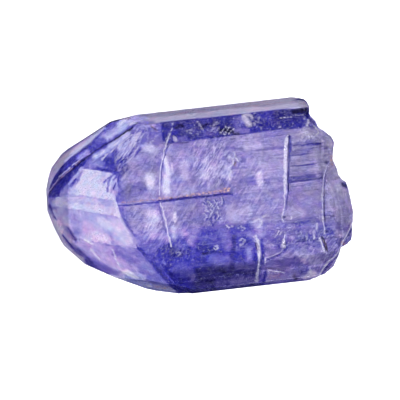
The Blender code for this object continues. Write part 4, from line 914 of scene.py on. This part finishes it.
facet = np.array([noise.noise(Vector(n) * FACET_VARIETY) for n in facing])
back = (facing[:, 2] < FACES_FLOOR) | ((facing[:, 2] < FACES_DOWN) & (place[:, 0] < GROWN_END))
back |= (facing[:, 2] < FACES_SIDEWAYS) & (place[:, 0] < BLUNT_TIP)
lower_sides = (facing[:, 2] < FACES_DOWN) & ~back
tone = FACET_TONE[0] + FACET_TONE[1] * facet
tone[lower_sides] = LOWER_TONE[0] + LOWER_TONE[1] * facet[lower_sides]
tone[back] = BACK_TONE[0] + BACK_TONE[1] * facet[back]
tone[broken_points] = BREAK_TONE[0] + BREAK_TONE[1] * field(BREAK_GRAIN, 2, 51.0)[broken_points]
warmth = np.full(count, EVEN_WARMTH)
for shade, lean, soft, outline in ZONES.values():
    inside = in_zone(outline, soft)
    tone += (shade - tone) * inside
    warmth += (lean - warmth) * inside
for shade, width, soft, *strokes in TONE_LINES.values():
    for points in strokes:
        tone += (shade - tone) * on_line(points, width, soft)

# Rose and blue casts: how far each leans, its width and softness in mm, and its points.
CASTS = {
    "rose of the outer roof": (0.86, 1.0, 0.8, [(97, 247), (110, 255)]),
    "rose of the lower roof": (0.85, 0.8, 0.8, [(92, 230), (102, 238)]),
    "blue of the lower roof": (0.25, 0.5, 0.8, [(96, 218), (105, 226)]),
    "blue of the outer roof": (0.05, 1.0, 0.8, [(100, 160), (116, 164), (112, 150)]),
    "blue of the shoulder": (0.12, 0.6, 0.5, [(100, 141), (110, 134), (122, 127)]),
    "rose stripe": (0.85, 0.15, 0.3, [(184, 222), (186, 240)]),
    "rose of the floor": (0.8, 0.5, 1.0, [(195, 247), (192, 256)]),
    "rose of the lower right": (0.8, 0.6, 0.8, [(280, 263), (284, 270)]),
    "deep blue of the floor": (0.15, 1.5, 1.5, [(165, 262), (172, 275), (205, 262)]),
    "rose of the foot": (0.85, 0.5, 0.6, [(121, 263), (127, 269)]),
    "warm grey of the right": (0.7, 1.2, 1.5, [(300, 160), (310, 200)]),
    "blue of the crescent": (0.05, 0.3, 0.2, [(59, 161), (66, 155.5), (76, 149.5), (90, 139.5),
        (103, 127)]),
    "rose of the crescent": (0.75, 0.2, 0.3, [(50, 176), (58, 161), (74, 147), (92, 134)]),
    "blue of the tip's bottom edge": (0.0, 0.9, 0.5, [(128, 280), (150, 284), (170, 289)]),
}
WARMTH_GRAIN = (0.8, 0.6, 0.6)
WARMTH_CHANGE = 0.50
for lean, width, soft, points in CASTS.values():
    warmth += (lean - warmth) * on_line(points, width, soft)
warmth += WARMTH_CHANGE * field(WARMTH_GRAIN, 2, 61.0)

# A milky or dark mark, painted highlight or painted shadow, is drawn narrower and crisper than the finely
# divided band that carries it. Milky marks and highlights lie over dark marks and shadows, and both they and
# the rust and orange glints are broken up by a fine grain.
MILK_AND_HIGHLIGHT_DRAWN = (0.55, 0.7)
FLAW_AND_SHADOW_DRAWN = (0.8, 0.8)
MILK_AND_HIGHLIGHT_HIDES_FLAW_AND_SHADOW = 0.8
BROKEN_GRAIN = (0.16, 0.16, 0.16)
UNBROKEN = 0.75
BREAKING_UP = 1.6
MILK_AND_HIGHLIGHT_BREAKS = 0.38

milk_and_highlight = strongest_line(MILK_AND_HIGHLIGHT_LINES, *MILK_AND_HIGHLIGHT_DRAWN)
flaw_and_shadow = strongest_line(DARK_FLAW_AND_SHADOW_LINES, *FLAW_AND_SHADOW_DRAWN)
flaw_and_shadow *= 1 - MILK_AND_HIGHLIGHT_HIDES_FLAW_AND_SHADOW * milk_and_highlight
rust_and_glint = strongest_line(RUST_AND_GLINT_LINES)
broken_up = np.clip(UNBROKEN + BREAKING_UP * field(BROKEN_GRAIN, 2, 13.0), 0, 1)
milk_and_highlight *= 1 - MILK_AND_HIGHLIGHT_BREAKS + MILK_AND_HIGHLIGHT_BREAKS * broken_up
rust_and_glint *= broken_up

# The relief, in mm below the solid's surface: slow waves and fine unevenness, which change the tone as well,
# the marks, worn edges and the hackly break. No point sinks further than its shortest edge allows. Where the
# waves and unevenness press the surface in, the tone is deeper: a painted shade in the hollows.
WAVE_GRAIN = (1.7, 1.0, 1.0)
WAVE_LEVEL = 0.4
WAVE_DEPTH = 0.014
FINE_GRAIN = (0.55, 0.30, 0.30)
FINE_LEVEL = 0.5
FINE_DEPTH = 0.010
MILK_AND_HIGHLIGHT_DEPTH = 0.025
FLAW_AND_SHADOW_DEPTH = 0.030
RUST_AND_GLINT_DEPTH = 0.02
EDGE_GRAIN = (0.5, 0.5, 0.5)
EDGE_WEAR = (0.005, 0.03)
HACKLE_GRAIN = (1.2, 0.8, 0.9)
HACKLE_DEPTH = 0.03
DEEPEST_SHARE = 0.6
AT_THE_FLOOR = 0.01
WAVE_TONE = 0.09
FINE_TONE = 0.05
MILK_AND_HIGHLIGHT_HIDES_TONE = 0.5

waves = field(WAVE_GRAIN, 3, 5.0)
fine = field(FINE_GRAIN, 2, 9.0)
# Painted shade: a deeper tone where the same noise presses the surface in.
tone += (WAVE_TONE * waves + FINE_TONE * fine) * (1 - MILK_AND_HIGHLIGHT_HIDES_TONE * milk_and_highlight)
depth = np.zeros(count)
depth += WAVE_DEPTH * np.clip(WAVE_LEVEL + waves, 0, 1)
depth += FINE_DEPTH * np.clip(FINE_LEVEL + fine, 0, 1)
depth += MILK_AND_HIGHLIGHT_DEPTH * milk_and_highlight + FLAW_AND_SHADOW_DEPTH * flaw_and_shadow + RUST_AND_GLINT_DEPTH * rust_and_glint
worn_and_lit_edges = np.zeros(count)
worn_and_lit_edges[edge_points] = 1.0
depth += worn_and_lit_edges * (EDGE_WEAR[0] + EDGE_WEAR[1] * np.clip(field(EDGE_GRAIN, 2, 21.0), 0, 1))
hackle = np.zeros(count)
hackle[broken_points] = 1.0
depth += hackle * (HACKLE_DEPTH * (1 + field(HACKLE_GRAIN, 3, 31.0)))
depth[(facing[:, 2] < FACES_FLOOR) | (place[:, 2] < AT_THE_FLOOR)] = 0
depth = np.clip(depth, 0, DEEPEST_SHARE * shortest)
place = np.clip(place - facing * depth[:, None], np.array(low) / MM, np.array(high) / MM)
mesh.vertices.foreach_set("co", (place * MM).ravel())
mesh.update()

# Where the surface is etched with slanting strokes, carries growth lines along the prism, or is etched with
# curls. Each has its strength, the softness of its border in mm, and its outline.
ETCHED = {
    "middle": (0.9, 1.2, [(190, 150), (196, 140), (226, 138), (234, 175), (222, 190), (194, 188)]),
    "corner": (1.0, 0.5, [(112, 152), (136, 124), (150, 128), (136, 152), (124, 172), (116, 172)]),
    "left": (0.35, 0.8, [(120, 165), (150, 150), (186, 150), (186, 195), (120, 200)]),
    "right of the middle": (0.5, 0.9, [(225, 155), (260, 160), (282, 210), (240, 222), (225, 190)]),
    "under the groove": (0.6, 1.0, [(128, 208), (225, 200), (225, 224), (140, 238)]),
    "lower right": (0.7, 0.9, [(290, 235), (330, 225), (345, 240), (320, 272), (290, 270)]),
    "left of the groove": (0.6, 0.9, [(135, 225), (165, 232), (190, 240), (185, 258), (150, 254)]),
}
GROWN = {
    "right end": (0.9, 0.8, [(286, 138), (328, 136), (324, 186), (290, 190)]),
    "under the right end": (0.9, 0.8, [(286, 214), (352, 212), (354, 228), (320, 236), (286, 234)]),
    "middle": (0.6, 1.5, [(236, 140), (286, 134), (286, 222), (250, 228), (232, 200)]),
    "top": (0.5, 1.0, [(170, 148), (232, 140), (232, 152), (175, 158)]),
    "lower part": (0.5, 1.0, [(200, 232), (250, 226), (256, 250), (200, 256)]),
    "dark foot": (0.35, 0.6, [(190, 262), (258, 262), (300, 266), (320, 276), (258, 288), (192, 294)]),
    "top strip": (0.6, 0.2, [(140, 120), (141, 109), (230, 100), (300, 94), (315, 104), (240, 114)]),
}
CURLED = {
    "squiggles": (1.0, 0.4, [(203, 199), (222, 198), (224, 222), (206, 224)]),
    "left of the band": (0.7, 0.5, [(112, 140), (138, 124), (158, 124), (150, 140), (122, 165)]),
    "lower left": (0.26, 0.6, [(150, 243), (200, 232), (255, 226), (256, 246), (200, 256), (152, 258)]),
    "lower right": (0.7, 0.5, [(262, 222), (300, 220), (345, 228), (325, 270), (300, 250), (268, 250)]),
    "top of the right end": (0.9, 0.3, [(298, 133), (314, 132), (316, 143), (298, 143)]),
    "flaws of the band": (0.35, 0.3, [(180, 128), (200, 122), (220, 121), (218, 128), (196, 136),
        (180, 136)]),
    "glint of the band": (0.5, 0.3, [(238, 115), (262, 112), (262, 126), (242, 128)]),
    "dark foot": (0.1, 0.4, [(192, 270), (258, 266), (258, 284), (196, 290)]),
    "middle": (0.5, 0.8, [(224, 150), (240, 150), (245, 180), (226, 184)]),
    "right end": (0.6, 0.8, [(318, 180), (345, 178), (356, 220), (345, 235), (300, 240), (316, 210)]),
    "top strip": (0.5, 0.1, [(141, 109), (230, 100), (300, 94), (315, 104), (240, 114), (160, 122.7),
        (140, 122)]),
}
CURL_EVERYWHERE = 0.22
curl = strongest_zone(CURLED, CURL_EVERYWHERE * faces_up)
slant = strongest_zone(ETCHED, np.zeros(count))
grown = strongest_zone(GROWN, np.zeros(count))

# Worn edges are a little milky, where the colour isn't deep: partly wear, partly a painted highlight along
# the edges.
EDGE_WEAR_AND_HIGHLIGHT = 0.22
EDGE_WEAR_AND_HIGHLIGHT_UP_TO = 0.55
GREY_UP_TO = 0.72
DEEPENING = 0.15


def deeper_than(start):
    """0 where the tone is no deeper than start, 1 where it is deeper by DEEPENING or more."""
    return np.clip((tone - start) / DEEPENING, 0, 1)


milk_and_highlight = np.maximum(milk_and_highlight, EDGE_WEAR_AND_HIGHLIGHT * worn_and_lit_edges * broken_up * faces_up * (1 - deeper_than(EDGE_WEAR_AND_HIGHLIGHT_UP_TO)))

# Where the colour is greyer. The first table leaves dark places blue, and the second greys some of them too.
DULL = {
    "upper right": (0.65, 0.6, [(292, 132), (330, 136), (330, 178), (290, 180)]),
    "right end": (0.56, 0.8, [(286, 122), (335, 118), (356, 190), (356, 226), (330, 224), (284, 224)]),
    "lower right": (0.35, 0.8, [(264, 228), (356, 224), (345, 246), (322, 278), (262, 286)]),
    "middle": (0.42, 1.0, [(120, 165), (150, 138), (290, 122), (290, 224), (196, 228), (128, 232)]),
    "top strip": (0.15, 0.1, [(116, 120), (141, 109), (230, 100), (300, 94), (315, 104), (309, 107.3),
        (280, 109.5), (240, 114), (200, 118.3), (160, 122.7), (140, 122), (128, 121)]),
    "left of the hairline": (0.55, 1.0, [(122, 166), (146, 150), (160, 160), (158, 194), (122, 196)]),
    "crescent": (0.2, 0.2, [(42, 195), (46, 178), (56, 160), (74, 143), (95, 128), (110, 118), (72, 158.5),
        (53, 178)]),
}
DARK_AND_DULL = {
    "dark foot": (0.6, 0.8, [(187, 276), (212, 264), (258, 264), (259, 287), (196, 292)]),
    "end of the band": (0.4, 0.6, [(272, 110), (309, 106), (309, 118), (274, 122)]),
    "left of the band's middle": (0.35, 0.5, [(175, 123), (240, 115), (240, 134), (180, 140)]),
    "broad growth band": (0.55, 0.3, [(289, 175.5), (328, 171.5), (328, 180), (289, 184.5)]),
}
DULL_GRAIN = (1.2, 0.9, 0.9)
dull = strongest_zone(DULL, np.zeros(count))
dull *= 1 + field(DULL_GRAIN, 2, 71.0) - deeper_than(GREY_UP_TO)
dull = strongest_zone(DARK_AND_DULL, dull)

SURFACE = {
    "dull": dull,
    "tone": tone,
    "warmth": warmth,
    "milk_and_highlight": milk_and_highlight,
    "flaw_and_shadow": flaw_and_shadow,
    "rust_and_glint": rust_and_glint,
    "curl": curl,
    "slant": slant,
    "grown": grown,
}
SHARP_SHADING = math.radians(25)
for name, values in SURFACE.items():
    layer = mesh.attributes.new(name, "FLOAT", "POINT")
    layer.data.foreach_set("value", np.clip(values, 0, 1).astype(np.float32))
mesh.set_sharp_from_angle(angle=SHARP_SHADING)

# Clear zoisite: high refraction and a blue-violet body. The surface tints the light that passes through it.
CLEARNESS = 0.72
REFRACTION = 1.69
BODY_COLOR = (0.50, 0.45, 0.93)
BODY_DENSITY = 22

material = bpy.data.materials.new("tanzanite")
material.use_nodes = True
nodes = material.node_tree.nodes
links = material.node_tree.links
shader = nodes["Principled BSDF"]
shader.inputs["IOR"].default_value = REFRACTION
shader.inputs["Transmission Weight"].default_value = CLEARNESS
absorption = nodes.new("ShaderNodeVolumeAbsorption")
absorption.inputs["Color"].default_value = (*BODY_COLOR, 1)
absorption.inputs["Density"].default_value = BODY_DENSITY
links.new(absorption.outputs["Volume"], nodes["Material Output"].inputs["Volume"])


def attribute(name):
    node = nodes.new("ShaderNodeAttribute")
    node.attribute_name = name
    return node.outputs["Fac"]


def calculate(operation, a, b=None, c=None):
    node = nodes.new("ShaderNodeMath")
    node.operation = operation
    for socket, value in zip(node.inputs, (a, b, c)):
        if value is None:
            continue
        if isinstance(value, (int, float)):
            socket.default_value = value
        else:
            links.new(value, socket)
    return node.outputs[0]


def clamped(operation, a, b, c=None):
    value = calculate(operation, a, b, c)
    value.node.use_clamp = True
    return value


def mix_color(factor, a, b, blend_type="MIX"):
    node = nodes.new("ShaderNodeMix")
    node.data_type = "RGBA"
    node.blend_type = blend_type
    for name, value in (("Factor", factor), ("A", a), ("B", b)):
        socket = node.inputs[name] if name == "Factor" else [i for i in node.inputs if i.name == name][2]
        if isinstance(value, (int, float)):
            socket.default_value = value
        elif isinstance(value, tuple):
            socket.default_value = (*value, 1)
        else:
            links.new(value, socket)
    return [o for o in node.outputs if o.name == "Result"][2]


def ramp(factor, stops):
    node = nodes.new("ShaderNodeValToRGB")
    while len(node.color_ramp.elements) < len(stops):
        node.color_ramp.elements.new(0.5)
    for element, (position, color) in zip(node.color_ramp.elements, sorted(stops.items())):
        element.position = position
        element.color = (*color, 1)
    links.new(factor, node.inputs[0])
    return node.outputs["Color"]


def noise_through(mapping, scale, detail, distortion=0.0):
    """Fine noise on the crystal's own coordinates, seen through a mapping."""
    where = nodes.new("ShaderNodeTexCoord")
    texture = nodes.new("ShaderNodeTexNoise")
    texture.inputs["Scale"].default_value = scale
    texture.inputs["Detail"].default_value = detail
    texture.inputs["Distortion"].default_value = distortion
    links.new(where.outputs["Object"], mapping.inputs["Vector"])
    links.new(mapping.outputs["Vector"], texture.inputs["Vector"])
    return texture.outputs["Fac"]


def speckle(scale, squeeze, detail):
    """Fine grain, drawn out along any axis that is squeezed."""
    mapping = nodes.new("ShaderNodeMapping")
    mapping.inputs["Scale"].default_value = squeeze
    return noise_through(mapping, scale, detail)


def drawn_out(scale, stretch, turn, detail, distortion):
    """Fine noise drawn out stretch times along a direction turn degrees up from the prism's length."""
    mapping = nodes.new("ShaderNodeMapping")
    mapping.vector_type = "TEXTURE"
    mapping.inputs["Rotation"].default_value = (0, 0, math.radians(turn))
    mapping.inputs["Scale"].default_value = (stretch, 1, 1)
    return noise_through(mapping, scale, detail, distortion)


def streaks(mask, scale, stretch, turn, strength):
    """Fine brushed streaks, as a change of tone."""
    streak = calculate("MULTIPLY_ADD", drawn_out(scale, stretch, turn, 1, 0.5), strength, -0.5 * strength)
    return calculate("MULTIPLY", streak, attribute(mask))


def hair(scale, stretch, turn, fine):
    """Thin crooked lines, each a painted lit side beside a painted shaded side: drawn-out noise cut at two
    nearby heights.
    """
    grain = drawn_out(scale, stretch, turn, 2, 0.4)
    lines = []
    for cut in (0.50, 0.50 + fine * 1.6):
        off = calculate("ABSOLUTE", calculate("SUBTRACT", grain, cut))
        lines.append(clamped("MULTIPLY_ADD", off, -1.0 / fine, 1.0))
    return lines


# The colour at each tone, where the crystal is clear blue and where it is greyer.
DEPTHS = {
    0.00: (0.98, 0.97, 1.0),
    0.25: (0.48, 0.43, 0.77),
    0.50: (0.108, 0.084, 0.455),
    0.75: (0.009, 0.007, 0.31),
    1.00: (0.0005, 0.0005, 0.10),
}
DULL_DEPTHS = {
    0.00: (0.88, 0.86, 0.92),
    0.25: (0.48, 0.44, 0.62),
    0.50: (0.16, 0.13, 0.27),
    0.75: (0.022, 0.018, 0.075),
    1.00: (0.0015, 0.0010, 0.012),
}
WARMTH_COLORS = {0.0: (0.72, 0.92, 1.0), 0.5: (1.0, 0.96, 1.0), 1.0: (1.35, 0.90, 1.0)}
RUST_AND_GLINT_COLORS = {0.40: (0.03, 0.005, 0.01), 0.50: (0.50, 0.16, 0.05), 0.60: (1.0, 0.60, 0.34)}
DARK_LINE_COLOR = (0.012, 0.009, 0.22)
LIGHT_LINE_COLOR = (0.90, 0.88, 1.0)
FLECK_COLOR = (0.95, 0.93, 1.0)
MILK_AND_HIGHLIGHT_COLOR = (1.0, 0.99, 1.0)
FLAW_AND_SHADOW_COLOR = (0.0006, 0.0004, 0.010)
GRAIN_TONE = 0.40
STRAND_TONE = 0.10
SLANT_DEGREES = 52
CURL_DEGREES = 20
SLANT_TONE = 1.1
GROWN_TONE = 0.6
GROWN_LINE_STRENGTH = 0.15
DARK_LINE_STRENGTH = 0.70
LIGHT_LINE_STRENGTH = 0.75
FLECK_STRENGTH = 0.6

# The scale of a noise is per metre, so 5200 is a grain of about 0.2 mm. A squeezed axis draws the grain out.
patchy = speckle(6500, (1.0, 1.0, 1.0), 2)
fine_grain = speckle(5200, (0.45, 1.0, 1.0), 3)
strands = speckle(1500, (0.12, 1.0, 1.0), 3)
grain_change = calculate("MULTIPLY_ADD", fine_grain, GRAIN_TONE, -0.5 * GRAIN_TONE)
strand_change = calculate("MULTIPLY_ADD", strands, STRAND_TONE, -0.5 * STRAND_TONE)
depth_of_color = calculate("ADD", attribute("tone"), grain_change)
depth_of_color = calculate("ADD", depth_of_color, strand_change)
depth_of_color = calculate("ADD", depth_of_color, streaks("slant", 5600, 5.5, SLANT_DEGREES, SLANT_TONE))
depth_of_color = calculate("ADD", depth_of_color, streaks("grown", 4200, 30.0, 0, GROWN_TONE))
body = ramp(depth_of_color, DEPTHS)
body = mix_color(1.0, body, ramp(attribute("warmth"), WARMTH_COLORS), "MULTIPLY")
body = mix_color(attribute("dull"), body, ramp(depth_of_color, DULL_DEPTHS))

light_slants, dark_slants = hair(3900, 4.5, SLANT_DEGREES, 0.040)
very_slant = clamped("MULTIPLY_ADD", attribute("slant"), 2.0, -1.0)
light_slants = calculate("MULTIPLY", light_slants, very_slant)
dark_slants = calculate("MULTIPLY", dark_slants, very_slant)
light_curls, dark_curls = hair(2900, 1.3, CURL_DEGREES, 0.024)
light_lines, dark_lines = hair(3600, 30, 0, 0.030)
light_lines = calculate("MULTIPLY", light_lines, GROWN_LINE_STRENGTH)
etched_lines = {
    "slant": (light_slants, dark_slants),
    "curl": (light_curls, dark_curls),
    "grown": (light_lines, dark_lines),
}
light = 0.0
dark = 0.0
for name, (light_line, dark_line) in etched_lines.items():
    light = calculate("MAXIMUM", light, calculate("MULTIPLY", light_line, attribute(name)))
    dark = calculate("MAXIMUM", dark, calculate("MULTIPLY", dark_line, attribute(name)))
flecks = clamped("MULTIPLY_ADD", speckle(7500, (1.0, 1.0, 1.0), 1), 9.0, -6.3)
orange_of_rust_and_glint = calculate("MULTIPLY", attribute("rust_and_glint"), clamped("MULTIPLY_ADD", patchy, 6.0, -2.2))
# The etched lines are painted with a shaded side and a lit side.
body = mix_color(calculate("MULTIPLY", dark, DARK_LINE_STRENGTH), body, DARK_LINE_COLOR)
body = mix_color(calculate("MULTIPLY", light, LIGHT_LINE_STRENGTH), body, LIGHT_LINE_COLOR)
body = mix_color(calculate("MULTIPLY", flecks, FLECK_STRENGTH), body, FLECK_COLOR)
# Painted highlights and glows come in with the milky marks, orange painted glints with the rust, and painted
# shadows with the dark flaws.
body = mix_color(attribute("milk_and_highlight"), body, MILK_AND_HIGHLIGHT_COLOR)
body = mix_color(orange_of_rust_and_glint, body, ramp(patchy, RUST_AND_GLINT_COLORS))
body = mix_color(attribute("flaw_and_shadow"), body, FLAW_AND_SHADOW_COLOR)
links.new(body, shader.inputs["Base Color"])

SMOOTHEST = 0.04
ROUGHNESS_CHANGE = 0.22
BUMP_HEIGHT = 0.00002
BUMP_STRENGTH = 0.5
links.new(calculate("MULTIPLY_ADD", fine_grain, ROUGHNESS_CHANGE, SMOOTHEST), shader.inputs["Roughness"])
bump = nodes.new("ShaderNodeBump")
bump.inputs["Distance"].default_value = BUMP_HEIGHT
bump.inputs["Strength"].default_value = BUMP_STRENGTH
links.new(speckle(9000, (0.5, 1.0, 1.0), 4), bump.inputs["Height"])
links.new(bump.outputs["Normal"], shader.inputs["Normal"])

mesh.materials.clear()
mesh.materials.append(material)
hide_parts("crystal")
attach(crystal, "root")
